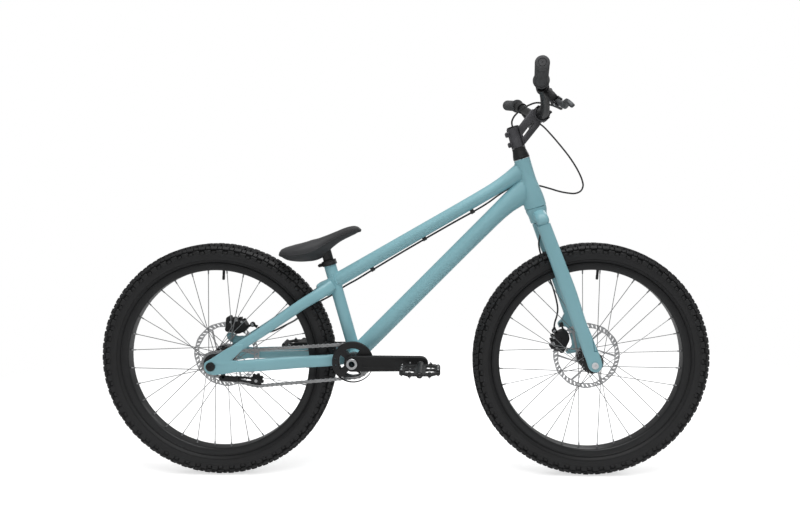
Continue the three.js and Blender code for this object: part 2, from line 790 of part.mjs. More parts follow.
// Fork, built about the steering axis: x is forward, z is up from the crown seat
const steererTop = headTubeLength + headsetCoverHeight + stemClampHeight;
const crownTaper = crownHeight * 0.36;
const steererTaper = headTubeLength * 0.2;
const crownArch = [-1, -0.62, 0, 0.62, 1].map((share) => ({
  at: V(crownDepth * 0.05, share * legTopSpread, -crownHeight * (0.42 + 0.3 * share * share)),
  wide: crownDepth / 2,
  deep: crownHeight * 0.36,
  square: 0.8,
}));
const crownCap = rod(
  V(crownDepth * 0.05, 0, -crownHeight), V(crownDepth * 0.05, 0, -crownHeight * 2),
  legTopSpread * 2, pinSides,
);
function crownShoulder(y) {
  return rod(
    V(crownDepth * 0.05, y, -crownHeight * 0.6), V(crownDepth * 0.05, y, -crownHeight),
    crownDepth / 2, pinSides,
  );
}

const forkCrown = cut(
  join(
    upright(turned([
      [0, -crownHeight * 0.9], [crownRadius * 0.84, -crownHeight * 0.9], [crownRadius * 0.84, -crownTaper],
      [crownRadius, -crownTaper * 0.8], [crownRadius, -runningGap], [steererBottomRadius, -runningGap],
      [steererBottomRadius, steererTaper], [steererRadius, 2 * steererTaper], [steererRadius, steererTop],
      [0, steererTop],
    ], turnSteps)),
    loft(crownArch, staySides, 0, V(1, 0, 0)),
    crownShoulder(-legTopSpread),
    crownShoulder(legTopSpread),
  ),
  upright(drill(
    V(0, -crownHeight * 2, 0), V(0, steererTop + overrun, 0), steererRadius - steererWall,
  )),
  crownCap,
);

// Legs run from the axle up to the crown; their shares of spread go from the hub to the crown
const legLength = forkLength - crownHeight - seatGap;
const legEndSpread = (frontHubWidth + legEndThickness) / 2 + seatGap;
const legStations = legRunShares.map((share, i) => ({
  at: V(
    forkOffset * legFrontShares[i], -THREE.MathUtils.lerp(legEndSpread, legTopSpread, Math.max(share, 0)),
    -forkLength + share * legLength,
  ),
  wide: legWidth * legWidthShares[i] / 2,
  deep: legDepth * legDepthShares[i] / 2,
  square: 0.75,
}));
const forkWheelSpace = rod(
  V(forkOffset, -frontHubWidth / 2 - seatGap, -forkLength),
  V(forkOffset, frontHubWidth / 2 + seatGap, -forkLength), legDepth, turnSteps,
);
const axleBore = drill(
  V(forkOffset, -frontHubWidth, -forkLength), V(forkOffset, frontHubWidth, -forkLength),
  axleRadius + seatGap,
);
const aboveLegs = block(
  V(-legDepth, -legTopSpread - legWidth, -crownHeight - seatGap), V(legDepth, 0, crownHeight),
);
const rightLeg = cut(
  loft(legStations, staySides), core(legStations.slice(4), staySides, legWall),
  forkWheelSpace, axleBore, aboveLegs,
);

// Two tabs behind the left leg carry the front caliper between them
const frontCaliperMiddle = V(-forkOffset * 1.3, frontRotorPlane, -forkLength + frontCaliperLength * 0.93);
function frontTab(z) {
  return block(
    V(-tabReach, frontRotorPlane + rotorThickness, z), V(forkOffset * 0.5, legEndSpread, z + tabThickness),
  );
}

const frontTabSpan = frontCaliperLength / 2 + seatGap;
const leftLeg = join(
  mirrored(rightLeg),
  frontTab(frontCaliperMiddle.z + frontTabSpan),
  frontTab(frontCaliperMiddle.z - frontTabSpan - tabThickness),
);

// Headset cover and top cap
const coverFoot = headTubeLength + seatGap;
const coverTop = headTubeLength + headsetCoverHeight;
const coverPocket = coverFoot + bearingHeight + runningGap;
const headsetCover = upright(turned([
  [headsetCoverBase, coverFoot], [headsetCoverBase, coverFoot + bearingHeight],
  [stemClampRadius, coverTop - bearingHeight], [stemClampRadius, coverTop],
  [steererRadius + seatGap, coverTop], [steererRadius + seatGap, coverPocket],
  [upperBearingOuter + runningGap, coverPocket], [upperBearingOuter + runningGap, coverFoot],
  [headsetCoverBase, coverFoot],
], turnSteps));
const topCapFoot = steererTop + seatGap;
const topCapBore = hoseRadius + 2 * runningGap;
const topCap = upright(turned([
  [topCapBore, topCapFoot], [stemClampRadius * 0.92, topCapFoot],
  [stemClampRadius * 0.92, topCapFoot + topCapHeight / 2],
  [stemClampRadius * 0.7, topCapFoot + topCapHeight], [topCapBore, topCapFoot + topCapHeight],
  [topCapBore, topCapFoot],
], turnSteps));

// Stem: a clamp on the steerer, two arms with a slit between them, and a split clamp on the bar
const stemFoot = coverTop + seatGap;
const barCentre = V(stemReach, 0, coverTop + stemRise);
const stemSlope = Math.atan2(barCentre.z - stemFoot - stemClampHeight / 2, stemReach);
const stemArms = cut(
  plate(scaledOutline(stemArmShares, stemReach, 0, stemFoot), stemWidth, 0),
  plate(scaledOutline(stemSlitShares, stemReach, 0, stemFoot), 2 * stemWidth, 0),
);
const pinchBossLow = stemFoot + pinchBossHeight * 0.4;
const pinchBossHigh = stemFoot + stemClampHeight - pinchBossHeight * 1.5;
function pinchBoss(z) {
  return block(
    V(-pinchBossReach, -pinchBossHeight * 0.8, z),
    V(-steererRadius, pinchBossHeight * 0.8, z + pinchBossHeight),
  );
}

const barClampBody = rod(
  V(barCentre.x, -barClampWidth / 2, barCentre.z), V(barCentre.x, barClampWidth / 2, barCentre.z),
  barClampRadius, turnSteps,
);
const barBore = drill(
  V(barCentre.x, -barClampWidth, barCentre.z), V(barCentre.x, barClampWidth, barCentre.z),
  barCentreRadius + seatGap, turnSteps,
);

// A box that covers one side of the bar clamp's split, turned to the slope of the arms.
function clampSide(from, to) {
  return block(V(from, -barClampWidth, -barClampWidth), V(to, barClampWidth, barClampWidth))
    .rotate([0, -THREE.MathUtils.radToDeg(stemSlope), 0]).translate(barCentre.toArray());
}

const stem = cut(
  join(
    upright(rod(
      V(0, stemFoot, 0), V(0, stemFoot + stemClampHeight - seatGap, 0), stemClampRadius, turnSteps,
    )),
    stemArms, barClampBody, pinchBoss(pinchBossLow), pinchBoss(pinchBossHigh),
  ),
  upright(drill(
    V(0, stemFoot - overrun, 0), V(0, steererTop + overrun, 0), steererRadius + seatGap, turnSteps,
  )),
  barBore,
  clampSide(-faceplateGap / 2, barClampWidth),
  block(V(-pinchBossReach - overrun, -faceplateGap, stemFoot - overrun), V(0, faceplateGap, steererTop)),
);
const stemFaceplate = cut(barClampBody, barBore, clampSide(-barClampWidth, faceplateGap / 2));

// Stem bolts: four in the faceplate and two across the steerer clamp
function inClamp(body) {
  return body.rotate([0, -THREE.MathUtils.radToDeg(stemSlope), 0]).translate(barCentre.toArray());
}

const faceBolts = [];
for (const sideways of [-1, 1]) {
  for (const upDown of [-1, 1]) {
    const y = sideways * barClampWidth * 0.36;
    const z = upDown * barClampRadius * 0.6;
    const seat = Math.sqrt(barClampRadius ** 2 - z ** 2) - faceBoltRadius;
    faceBolts.push(inClamp(rod(
      V(seat, y, z), V(seat + faceBoltHead + faceBoltRadius, y, z), faceBoltRadius, pinSides,
    )));
  }
}
const pinchBolts = [pinchBossLow, pinchBossHigh].map((foot) => {
  const z = foot + pinchBossHeight / 2;
  const x = -(pinchBossReach + steererRadius) / 2 - pinchBoltRadius * 0.25;
  const y = -pinchBossHeight * 0.8;
  return rod(V(x, y - pinchBoltRadius, z), V(x, y + pinchBoltRadius, z), pinchBoltRadius, pinSides);
});
const stemBolted = join(stem, ...pinchBolts);
const faceplateBolted = join(stemFaceplate, ...faceBolts);

// Handlebar, in a frame that stands upright on the middle of the bar clamp
const barPoints = [];
for (let i = barReachShares.length - 1; i > 0; i -= 1) {
  barPoints.push([-barReachShares[i], i]);
}
for (let i = 0; i < barReachShares.length; i += 1) {
  barPoints.push([barReachShares[i], i]);
}
const barStations = barPoints.map(([reach, i]) => ({
  at: V(-barSweep * barSweepShares[i], reach * barHalfWidth, barRise * barRiseShares[i]),
  wide: barCentreRadius * barThickShares[i],
  deep: barCentreRadius * barThickShares[i],
}));
const handlebar = loft(barStations, mainTubeSides, 0, V(0, 0, 1));

// A point of the bar's right half and the outward direction there, at a share of its half width.
function onBar(share) {
  const last = barReachShares.length - 1;
  const i = Math.min(barReachShares.findIndex((reach) => reach >= share), last);
  const from = barStations[last - i + 1].at;
  const to = barStations[last - i].at;
  const part = (share - barReachShares[i - 1]) / (barReachShares[i] - barReachShares[i - 1]);
  return { at: from.clone().lerp(to, part), out: to.clone().sub(from).normalize() };
}

const gripEnd = onBar(1);
const gripTip = gripEnd.at.clone().addScaledVector(gripEnd.out, seatGap + gripEndWall);
const gripInner = gripTip.clone().addScaledVector(gripEnd.out, -gripLength);
const gripBoreEnd = gripEnd.at.clone().addScaledVector(gripEnd.out, seatGap);
const gripBoreStart = gripInner.clone().addScaledVector(gripEnd.out, -overrun);
const gripBoreRadius = barCentreRadius * barThickShares[barThickShares.length - 1] + seatGap;
const rightGrip = cut(
  join(
    rod(gripInner, gripTip, gripRadius, staySides),
    rod(
      gripInner, gripInner.clone().addScaledVector(gripEnd.out, gripFlangeWidth), gripFlangeRadius, staySides,
    ),
  ),
  drill(gripBoreStart, gripBoreEnd, gripBoreRadius, staySides),
);

// Brake lever frame for the right side: x down and forward, y outward along the bar
const leverSeat = onBar(leverPlaceShare);
const leverReachWay = V(Math.cos(leverDrop), 0, -Math.sin(leverDrop));
const leverX = leverReachWay.clone()
  .addScaledVector(leverSeat.out, -leverReachWay.dot(leverSeat.out)).normalize();
const leverZ = leverX.clone().cross(leverSeat.out).normalize();
const leverFrame = new THREE.Matrix4().makeBasis(leverX, leverSeat.out, leverZ).setPosition(leverSeat.at);

function onLever(body) {
  return body.transform(leverFrame.toArray());
}

// Each hose starts just clear of the port of its master cylinder, and the levers are built about the bar
const barMiddle = onSteeringAxis(barCentre.z).addScaledVector(steerFore, barCentre.x);
const rightPort = V(
  masterReach + masterRadius, masterLength * portShares[0] - hoseRadius / 2, 0,
).applyMatrix4(leverFrame).add(barMiddle);
const leftPort = rightPort.clone().multiply(V(1, -1, 1));

const leverBodyStations = [0.26, 0.6, 1].map((share, i) => ({
  at: V(share * leverBodyReach, [0, -0.08, -0.02][i] * leverBodyWidth, 0),
  wide: leverBodyWidth * [0.4, 0.5, 0.46][i],
  deep: leverBodyThickness / 2,
  square: 0.7,
}));
const pinHalf = leverBodyThickness * 0.5;
const bladeSlot = block(
  V(
    leverPivotReach - bladeSlotDepth, leverPivotOut - bladeEyeRadius - runningGap,
    -bladeThickness / 2 - runningGap,
  ),
  V(leverBodyReach * 2, leverBodyWidth * 2, bladeThickness / 2 + runningGap),
);
const leverClamp = join(
  cut(
    join(
      rod(
        V(0, -leverClampWidth / 2, 0), V(0, leverClampWidth / 2, 0), barRadius + seatGap + leverClampWall,
        turnSteps,
      ),
      loft(leverBodyStations, staySides, 0, V(0, 1, 0)),
      rod(
        V(masterReach, masterLength * masterShares[0], 0), V(masterReach, masterLength * masterShares[1], 0),
        masterRadius, turnSteps,
      ),
      rod(
        V(masterReach + masterRadius, masterLength * portShares[1], 0),
        V(masterReach + masterRadius, masterLength * portShares[0], 0), masterRadius * 0.5, pinSides,
      ),
    ),
    drill(V(0, -leverClampWidth * 2, 0), V(0, leverClampWidth * 2, 0), barRadius + seatGap, turnSteps),
    bladeSlot,
  ),
  rod(
    V(leverPivotReach, leverPivotOut, -pinHalf), V(leverPivotReach, leverPivotOut, pinHalf), leverPinRadius,
    pinSides,
  ),
);

// The blade lies in the lever's own plane, so its outline is extruded along z
const bladeOutline = bladeShares.map(([x, y]) => new THREE.Vector2(
  leverPivotReach + x * bladeLength, leverPivotOut + y * bladeLength,
));
const bladeGeometry = new THREE.ExtrudeGeometry(new THREE.Shape(bladeOutline), {
  depth: bladeThickness, bevelEnabled: false,
});
bladeGeometry.translate(0, 0, -bladeThickness / 2);
const leverBlade = cut(
  join(
    solid(bladeGeometry),
    rod(
      V(leverPivotReach, leverPivotOut, -bladeThickness / 2),
      V(leverPivotReach, leverPivotOut, bladeThickness / 2), bladeEyeRadius, pinSides,
    ),
  ),
  rod(
    V(leverPivotReach, leverPivotOut, -bladeThickness), V(leverPivotReach, leverPivotOut, bladeThickness),
    leverPinRadius + seatGap, pinSides,
  ),
);

// Calipers: a block with a slot for the rotor and a pocket for the two pads
function caliper(middle, hub, outline, plane) {
  const body = plate(
    outline.map(([x, z]) => [middle.x + x, middle.z + z]), caliperOutboard + caliperInboard,
    plane + (caliperOutboard - caliperInboard) / 2,
  );
  const rotorSlot = rod(
    V(hub.x, plane - rotorThickness / 2 - runningGap, hub.z),
    V(hub.x, plane + rotorThickness / 2 + runningGap, hub.z), rotorRadius + 2 * runningGap, 2 * turnSteps,
  );
  const pocketHalf = rotorThickness / 2 + padRest + padThickness + seatGap;
  const pocket = block(
    V(middle.x - padLength / 2 - seatGap, plane - pocketHalf, middle.z - padHeight / 2 - seatGap),
    V(middle.x + padLength / 2 + seatGap, plane + pocketHalf, middle.z + padHeight / 2 + seatGap),
  );
  return cut(body, rotorSlot, pocket);
}

function pad(middle, plane, way) {
  const face = plane + way * (rotorThickness / 2 + padRest);
  const back = face + way * padThickness;
  return block(
    V(middle.x - padLength / 2, Math.min(face, back), middle.z - padHeight / 2),
    V(middle.x + padLength / 2, Math.max(face, back), middle.z + padHeight / 2),
  );
}

const frontCaliperShares = [
  [-0.34, -0.5], [0.2, -0.5], [0.36, -0.2], [0.36, 0.15], [0.2, 0.5], [-0.3, 0.5], [-0.4, 0.1],
];
const frontCaliper = caliper(
  frontCaliperMiddle, V(forkOffset, 0, -forkLength),
  scaledOutline(frontCaliperShares, frontCaliperLength, 0, 0), frontRotorPlane,
);
const rearCaliperMiddle = V(
  rearHub.x + rearCaliperLength / 2, rearRotorPlane, rearHub.z + rotorRadius * 0.89,
);
const rearCaliperShares = [
  [-0.5, -0.18], [-0.42, -0.32], [0.08, -0.34], [0.5, -0.18], [0.5, 0.1], [0.4, 0.28], [-0.36, 0.34],
  [-0.5, 0.2],
];
const rearCaliper = caliper(
  rearCaliperMiddle, rearHub, scaledOutline(rearCaliperShares, rearCaliperLength, 0, 0), rearRotorPlane,
);

// Wheels: tyre, rim, spokes, hub and rotor turn about the Y axis of their own hub
const tyreMiddleRadius = tyreRadius - tyreWidth / 2;
const tyreSeatHalf = rimWidth / 2 - rimWall - seatGap;
const tyreHalf = tyreWidth / 2;
const tyreOutsideShares = [
  [-0.5, 0.93], [0.2, 1], [0.82, 0.62], [1, 0],
];
const tyreInsideShares = [
  [0.85, 0.5], [-0.1, 0.98],
];

function tyre() {
  const outside = tyreOutsideShares.map(([out, wide]) => [
    tyreMiddleRadius + out * tyreHalf, wide * tyreHalf,
  ]);
  const hollow = tyreHalf - tyreSideWall;
  const crown = tyreHalf - tyreTread;
  const inside = tyreInsideShares.map(([out, wide]) => [
    tyreMiddleRadius + out * (out > 0.5 ? crown : hollow), wide * hollow,
  ]);
  const lip = rimFlangeRadius + seatGap * 2;
  const rightHalf = [
    [beadRadius, -tyreSeatHalf], [lip, -tyreSeatHalf],
    ...outside.map(([radius, wide]) => [radius, -wide]),
  ];
  const leftHalf = rightHalf.slice(0, -1).reverse().map(([radius, y]) => [radius, -y]);
  const beadInside = tyreSeatHalf - tyreSideWall;
  const innerLeft = [[beadRadius, beadInside], [lip, beadInside]];
  const innerCrown = inside.slice().reverse();
  const innerRight = [...innerLeft, ...innerCrown].map(([radius, y]) => [radius, -y]).reverse();
  const loop = [...rightHalf, ...leftHalf, ...innerLeft, ...innerCrown, ...innerRight];
  return turned([...loop, loop[0]], wheelSteps);
}

function rim() {
  const half = rimWidth / 2;
  const bed = rimBedWidth / 2;
  const wallFoot = beadRadius - rimWall;
  const rightHalf = [
    [rimInnerRadius, -bed], [wallFoot - rimWall, -half], [rimFlangeRadius, -half],
    [rimFlangeRadius, -half + rimWall], [wallFoot, -half + rimWall], [rimInnerRadius + rimWall, -bed],
  ];
  const leftHalf = rightHalf.slice().reverse().map(([radius, y]) => [radius, -y]);
  const loop = [...rightHalf, ...leftHalf];
  const ring = turned([...loop, loop[0]], wheelSteps);
  const valveAngle = THREE.MathUtils.degToRad(4);
  const valveWay = V(Math.sin(valveAngle), 0, Math.cos(valveAngle));
  const valveTop = valveWay.clone().multiplyScalar(rimInnerRadius + rimWall / 2);
  const valveTip = valveWay.clone().multiplyScalar(rimInnerRadius - valveLength);
  return join(ring, rod(valveTip, valveTop, valveRadius, pinSides));
}

// Every second spoke of a flange leans forward and the others lean back, crossing three times.
function spokes(leftFlange, rightFlange) {
  const rods = [];
  const perFlange = spokeCount / 2;
  const crossAngle = 2 * Math.PI * spokeCrosses / perFlange;
  for (let i = 0; i < spokeCount; i += 1) {
    const left = i % 2 === 0;
    const forward = i % 4 < 2;
    const flange = left ? leftFlange : -rightFlange;
    const outward = left ? 1 : -1;
    const rimAngle = 2 * Math.PI * (i + 0.5) / spokeCount;
    const hubAngle = rimAngle + (forward ? crossAngle : -crossAngle);
    const y = flange + outward * (forward ? spokeHeadSpread : -spokeHeadSpread);
    const foot = V(spokeCircleRadius * Math.sin(hubAngle), y, spokeCircleRadius * Math.cos(hubAngle));
    const rimPoint = rimInnerRadius * Math.cos(Math.PI / wheelSteps) - seatGap;
    const head = V(rimPoint * Math.sin(rimAngle), outward * spokeRimSpread, rimPoint * Math.cos(rimAngle));
    rods.push(rod(foot, head, spokeRadius, 3));
  }
  return join(...rods);
}

// barrelEnd is where the wide part of the barrel ends on the right side.
function hub(width, leftFlange, rightFlange, rotorPlane, barrelEnd) {
  const half = width / 2 - runningGap;
  const bore = axleRadius + runningGap;
  const rotorFace = rotorPlane - rotorThickness / 2 - seatGap;
  const flange = flangeThickness / 2;
  return turned([
    [bore, -half], [hubEndRadius, -half], [hubBarrelRadius, -barrelEnd],
    [hubBarrelRadius, -rightFlange - flange],
    [flangeRadius, -rightFlange - flange], [flangeRadius, -rightFlange + flange],
    [hubBarrelRadius, -rightFlange + 2 * flange], [hubBarrelRadius, leftFlange - 2 * flange],
    [flangeRadius, leftFlange - flange], [flangeRadius, leftFlange + flange],
    [rotorHubRadius, rotorFace], [rotorBoreRadius - seatGap, rotorFace],
    [rotorBoreRadius - seatGap, rotorPlane + rotorThickness / 2],
    [hubEndRadius, half], [bore, half], [bore, -half],
  ], turnSteps);
}

// Rotor: a wavy brake band on curved arms
function rotor(plane) {
  const outline = [];
  const waves = rotorArmCount * 2;
  const outlineSteps = waves * 3;
  for (let i = 0; i < outlineSteps; i += 1) {
    const angle = 2 * Math.PI * i / outlineSteps;
    const radius = rotorRadius - rotorBand * 0.07 * (1 - Math.cos(waves * angle));
    outline.push([radius * Math.cos(angle), radius * Math.sin(angle)]);
  }
  const inner = rotorHubRadius + rotorBand * 0.2;
  const outer = rotorRadius - rotorBand;
  const step = 2 * Math.PI / rotorArmCount;
  const lean = step * 0.75;
  const holes = [roundHole(0, 0, rotorBoreRadius)];
  for (let arm = 0; arm < rotorArmCount; arm += 1) {
    const window = [];
    for (const share of [0.06, 0.5, 0.94]) {
      const angle = step * (arm + share * 0.88);
      window.push([outer * Math.cos(angle + lean), outer * Math.sin(angle + lean)]);
    }
    const middle = (inner + outer) / 2;
    const far = step * (arm + 0.86);
    window.push([middle * Math.cos(far + lean * 0.62), middle * Math.sin(far + lean * 0.62)]);
    for (const share of [0.9, 0.1]) {
      const angle = step * (arm + share * 0.72);
      window.push([inner * Math.cos(angle), inner * Math.sin(angle)]);
    }
    const near = step * (arm + 0.1);
    window.push([middle * Math.cos(near + lean * 0.62), middle * Math.sin(near + lean * 0.62)]);
    holes.push(new THREE.Path(window.reverse().map(([x, z]) => new THREE.Vector2(x, z))));
  }
  return plate(outline, rotorThickness, plane, holes);
}

function axle(halfWidth, headRadius) {
  const end = halfWidth + axleHeadHeight;
  return turned([
    [0, -end], [headRadius, -end], [headRadius, -halfWidth], [axleRadius, -halfWidth],
    [axleRadius, halfWidth], [headRadius, halfWidth], [headRadius, end], [0, end],
  ], turnSteps);
}

// Chain drive: pitch circles, and the sprung tensioner arm that takes up the slack
function pitchRadius(teeth) {
  return chainPitch / 2 / Math.sin(Math.PI / teeth);
}

const tensionerPivot = V(rearHub.x + tensionerPivotBack, 0, rearHub.z - tensionerPivotDrop);

function pulleyAt(armAngle) {
  return V(
    tensionerPivot.x + tensionerArmLength * Math.cos(armAngle), 0,
    tensionerPivot.z - tensionerArmLength * Math.sin(armAngle),
  );
}

// The runs and wraps of a belt round three wheels that all turn the same way, measured in links.
function chainPath(pulley) {
  const wheels = [
    { at: bracket, teeth: chainringTeeth },
    { at: rearHub, teeth: sprocketTeeth },
    { at: pulley, teeth: pulleyTeeth },
  ];
  const runs = wheels.map((wheel, i) => {
    const next = wheels[(i + 1) % wheels.length];
    const span = next.at.clone().sub(wheel.at);
    const way = span.clone().normalize();
    const lean = (pitchRadius(wheel.teeth) - pitchRadius(next.teeth)) / span.length();
    const outward = V(way.z, 0, -way.x).multiplyScalar(Math.sqrt(1 - lean * lean)).addScaledVector(way, lean);
    const from = wheel.at.clone().addScaledVector(outward, pitchRadius(wheel.teeth));
    const to = next.at.clone().addScaledVector(outward, pitchRadius(next.teeth));
    return { from, to, angle: Math.atan2(outward.z, outward.x) };
  });
  const pieces = [];
  runs.forEach((run, i) => {
    const next = wheels[(i + 1) % wheels.length];
    const nextRun = runs[(i + 1) % runs.length];
    const turn = THREE.MathUtils.euclideanModulo(nextRun.angle - run.angle, 2 * Math.PI);
    pieces.push({ ...run, links: run.from.distanceTo(run.to) / chainPitch });
    pieces.push({ wheel: next, start: run.angle, turn, links: turn * next.teeth / 2 / Math.PI });
  });
  return pieces;
}

function linksIn(pieces) {
  return pieces.reduce((sum, piece) => sum + piece.links, 0);
}

// The chain has the least whole, even number of links that reaches round the raised arm.
// The arm then hangs at the angle that takes up what is left of its length.
let armLow = THREE.MathUtils.degToRad(-10);
let armHigh = THREE.MathUtils.degToRad(70);
const linkTotal = 2 * Math.ceil(linksIn(chainPath(pulleyAt(armLow))) / 2);
for (let i = 0; i < 50; i += 1) {
  const middle = (armLow + armHigh) / 2;
  if (linksIn(chainPath(pulleyAt(middle))) < linkTotal) armLow = middle;
  else armHigh = middle;
}
const pulleyCentre = pulleyAt(armLow);
const chainPieces = chainPath(pulleyCentre);

function pinAt(link) {
  let rest = THREE.MathUtils.euclideanModulo(link, linkTotal);
  for (const piece of chainPieces) {
    if (rest <= piece.links) {
      if (piece.from) return piece.from.clone().lerp(piece.to, rest / piece.links);
      const angle = piece.start + piece.turn * rest / piece.links;
      const radius = pitchRadius(piece.wheel.teeth);
      return piece.wheel.at.clone().add(V(radius * Math.cos(angle), 0, radius * Math.sin(angle)));
    }
    rest -= piece.links;
  }
  return chainPieces[0].from.clone();
}

// The side plates are drawn as one band on each side, and a roller stands at every pin between them.
function chainSide(offset) {
  const points = [];
  for (const piece of chainPieces) {
    if (piece.from) {
      points.push({ at: piece.from, way: V(Math.cos(piece.angle), 0, Math.sin(piece.angle)) });
    } else {
      const steps = Math.max(1, Math.round(piece.links));
      for (let i = 0; i <= steps; i += 1) {
        const angle = piece.start + piece.turn * i / steps;
        const way = V(Math.cos(angle), 0, Math.sin(angle));
        points.push({ at: piece.wheel.at.clone().addScaledVector(way, pitchRadius(piece.wheel.teeth)), way });
      }
    }
  }
  return points
    .filter((point, i) => i === 0 || point.at.distanceTo(points[i - 1].at) > linkPlate)
    .map((point) => [point.at.x + offset * point.way.x, point.at.z + offset * point.way.z]);
}

function chainBand(way) {
  const inside = way * linkInnerWidth;
  const middle = inside + way * linkPlate / 2;
  return cut(
    plate(chainSide(linkHeight / 2), linkPlate, chainPlane + middle),
    plate(chainSide(-linkHeight / 2), 2 * linkPlate, chainPlane + middle),
  );
}

const rollers = [];
for (let i = 0; i < linkTotal; i += 1) {
  const before = pinAt(i - 1);
  const after = pinAt(i + 1);
  const slope = THREE.MathUtils.radToDeg(Math.atan2(after.z - before.z, after.x - before.x));
  const half = V(rollerWidth / 2, linkInnerWidth + linkPlate / 4, rollerWidth / 2);
  const pin = pinAt(i);
  rollers.push(
    block(half.clone().negate(), half).rotate([0, -slope, 0]).translate([pin.x, chainPlane, pin.z]),
  );
}
const chain = join(chainBand(-1), chainBand(1), ...rollers);

// A toothed wheel whose gaps sit on the chain's pins.
function toothedOutline(teeth, centre) {
  let firstPin = 0;
  let best = Infinity;
  for (let i = 0; i < linkTotal; i += 1) {
    const off = Math.abs(pinAt(i).distanceTo(centre) - pitchRadius(teeth));
    if (off < best) {
      best = off;
      firstPin = i;
    }
  }
  const pin = pinAt(firstPin).sub(centre);
  const start = Math.atan2(pin.z, pin.x) + Math.PI / teeth;
  const root = pitchRadius(teeth) - toothRoot;
  const tip = root + toothHeight;
  const outline = [];
  for (let i = 0; i < teeth; i += 1) {
    const angle = start + 2 * Math.PI * i / teeth;
    const out = new THREE.Vector2(Math.cos(angle), Math.sin(angle));
    const across = new THREE.Vector2(-out.y, out.x);
    for (const [radius, offset] of [
      [root, -toothWidth / 2], [tip, -toothTipWidth / 2], [tip, toothTipWidth / 2], [root, toothWidth / 2],
    ]) {
      const corner = out.clone().multiplyScalar(radius).addScaledVector(across, offset);
      outline.push([corner.x, corner.y]);
    }
  }
  return outline;
}

// Crescent windows shared by the chainring and the guard
function windows() {
  return [0, 1, 2, 3].map((quarter) => {
    const middle = Math.PI / 2 + quarter * Math.PI / 2;
    const path = new THREE.Path();
    for (let i = 0; i <= 3; i += 1) {
      const angle = middle + windowSweep * (0.5 - i / 3);
      const corner = [windowOuter * Math.cos(angle), windowOuter * Math.sin(angle)];
      if (i === 0) path.moveTo(...corner);
      else path.lineTo(...corner);
    }
    for (let i = 0; i <= 2; i += 1) {
      const angle = middle + windowSweep * (i / 2 - 0.5) * 0.8;
      path.lineTo(windowInner * Math.cos(angle), windowInner * Math.sin(angle));
    }
    path.closePath();
    return path;
  });
}

function atBracket(body) {
  return body.translate([bracket.x, 0, bracket.z]);
}

const chainring = atBracket(plate(
  toothedOutline(chainringTeeth, bracket), toothThickness, chainPlane,
  [roundHole(0, 0, crankHubRadius + seatGap), ...windows()],
));
const guardOutline = [];
for (let i = 0; i < guardSteps; i += 1) {
  const angle = 2 * Math.PI * i / guardSteps;
  guardOutline.push([guardRadius * Math.cos(angle), guardRadius * Math.sin(angle)]);
}
const guardInside = guardPlane + guardThickness / 2;
const ringOutside = chainPlane - toothThickness / 2;
const bashGuard = atBracket(join(
  plate(guardOutline, guardThickness, guardPlane, [roundHole(0, 0, crankHubRadius + seatGap), ...windows()]),
  collar(
    crankHubRadius + 2 * seatGap, windowInner - seatGap, guardInside - seatGap, ringOutside - seatGap,
    turnSteps,
  ),
));
const sprocket = plate(
  toothedOutline(sprocketTeeth, rearHub), toothThickness, chainPlane,
  [roundHole(0, 0, hubBarrelRadius + runningGap)],
);
const pulley = join(
  plate(
    toothedOutline(pulleyTeeth, pulleyCentre), toothThickness, chainPlane,
    [roundHole(0, 0, tensionerPinRadius + runningGap)],
  ),
  collar(
    tensionerPinRadius + runningGap, pulleyHubRadius * 0.7, chainPlane - pulleyHubWidth / 2,
    chainPlane + pulleyHubWidth / 2, pinSides,
  ),
);

// Tensioner: a body bolted inside the right dropout, and an arm that turns on it
function tensionerPlate(from, to, plane) {
  const way = to.clone().sub(from).normalize();
  const across = V(-way.z, 0, way.x).multiplyScalar(tensionerArmWidth / 2);
  const tip = way.clone().multiplyScalar(tensionerArmWidth / 3);
  const corners = [
    from.clone().sub(tip).sub(across.clone().multiplyScalar(0.6)), from.clone().sub(across),
    to.clone().sub(across), to.clone().add(tip).sub(across.clone().multiplyScalar(0.6)),
    to.clone().add(tip).add(across.clone().multiplyScalar(0.6)), to.clone().add(across),
    from.clone().add(across), from.clone().sub(tip).add(across.clone().multiplyScalar(0.6)),
  ];
  return plate(corners.map((corner) => [corner.x, corner.z]), tensionerPlateThickness, plane);
}

const armPlane = tensionerPlane + tensionerPlateThickness / 2;
const bodyPlane = armPlane - tensionerPlateThickness - seatGap;
const armInside = armPlane + tensionerPlateThickness / 2;
const tensionerArm = cut(
  join(
    tensionerPlate(tensionerPivot, pulleyCentre, armPlane),
    rod(
      V(pulleyCentre.x, armInside - tensionerPlateThickness / 2, pulleyCentre.z),
      V(pulleyCentre.x, chainPlane + pulleyHubWidth / 2 + tensionerPlateThickness, pulleyCentre.z),
      tensionerPinRadius, pinSides,
    ),
  ),
  rod(
    V(tensionerPivot.x, bodyPlane, tensionerPivot.z),
    V(tensionerPivot.x, armInside + overrun, tensionerPivot.z), tensionerPinRadius + seatGap, pinSides,
  ),
);
const tensionerFoot = V(tensionerPivot.x - tensionerBodyReach, 0, tensionerPivot.z + tensionerArmWidth * 0.2);
const tensionerBody = join(
  tensionerPlate(tensionerFoot, tensionerPivot, bodyPlane),
  block(
    V(tensionerFoot.x, bodyPlane - tensionerPlateThickness / 2, tensionerFoot.z),
    V(tensionerFoot.x + tensionerArmWidth, bodyPlane + tensionerPlateThickness / 2,
      tensionerFoot.z + tensionerBodyRise),
  ),
  rod(
    V(tensionerPivot.x, bodyPlane, tensionerPivot.z), V(tensionerPivot.x, armInside, tensionerPivot.z),
    tensionerPinRadius, pinSides,
  ),
);

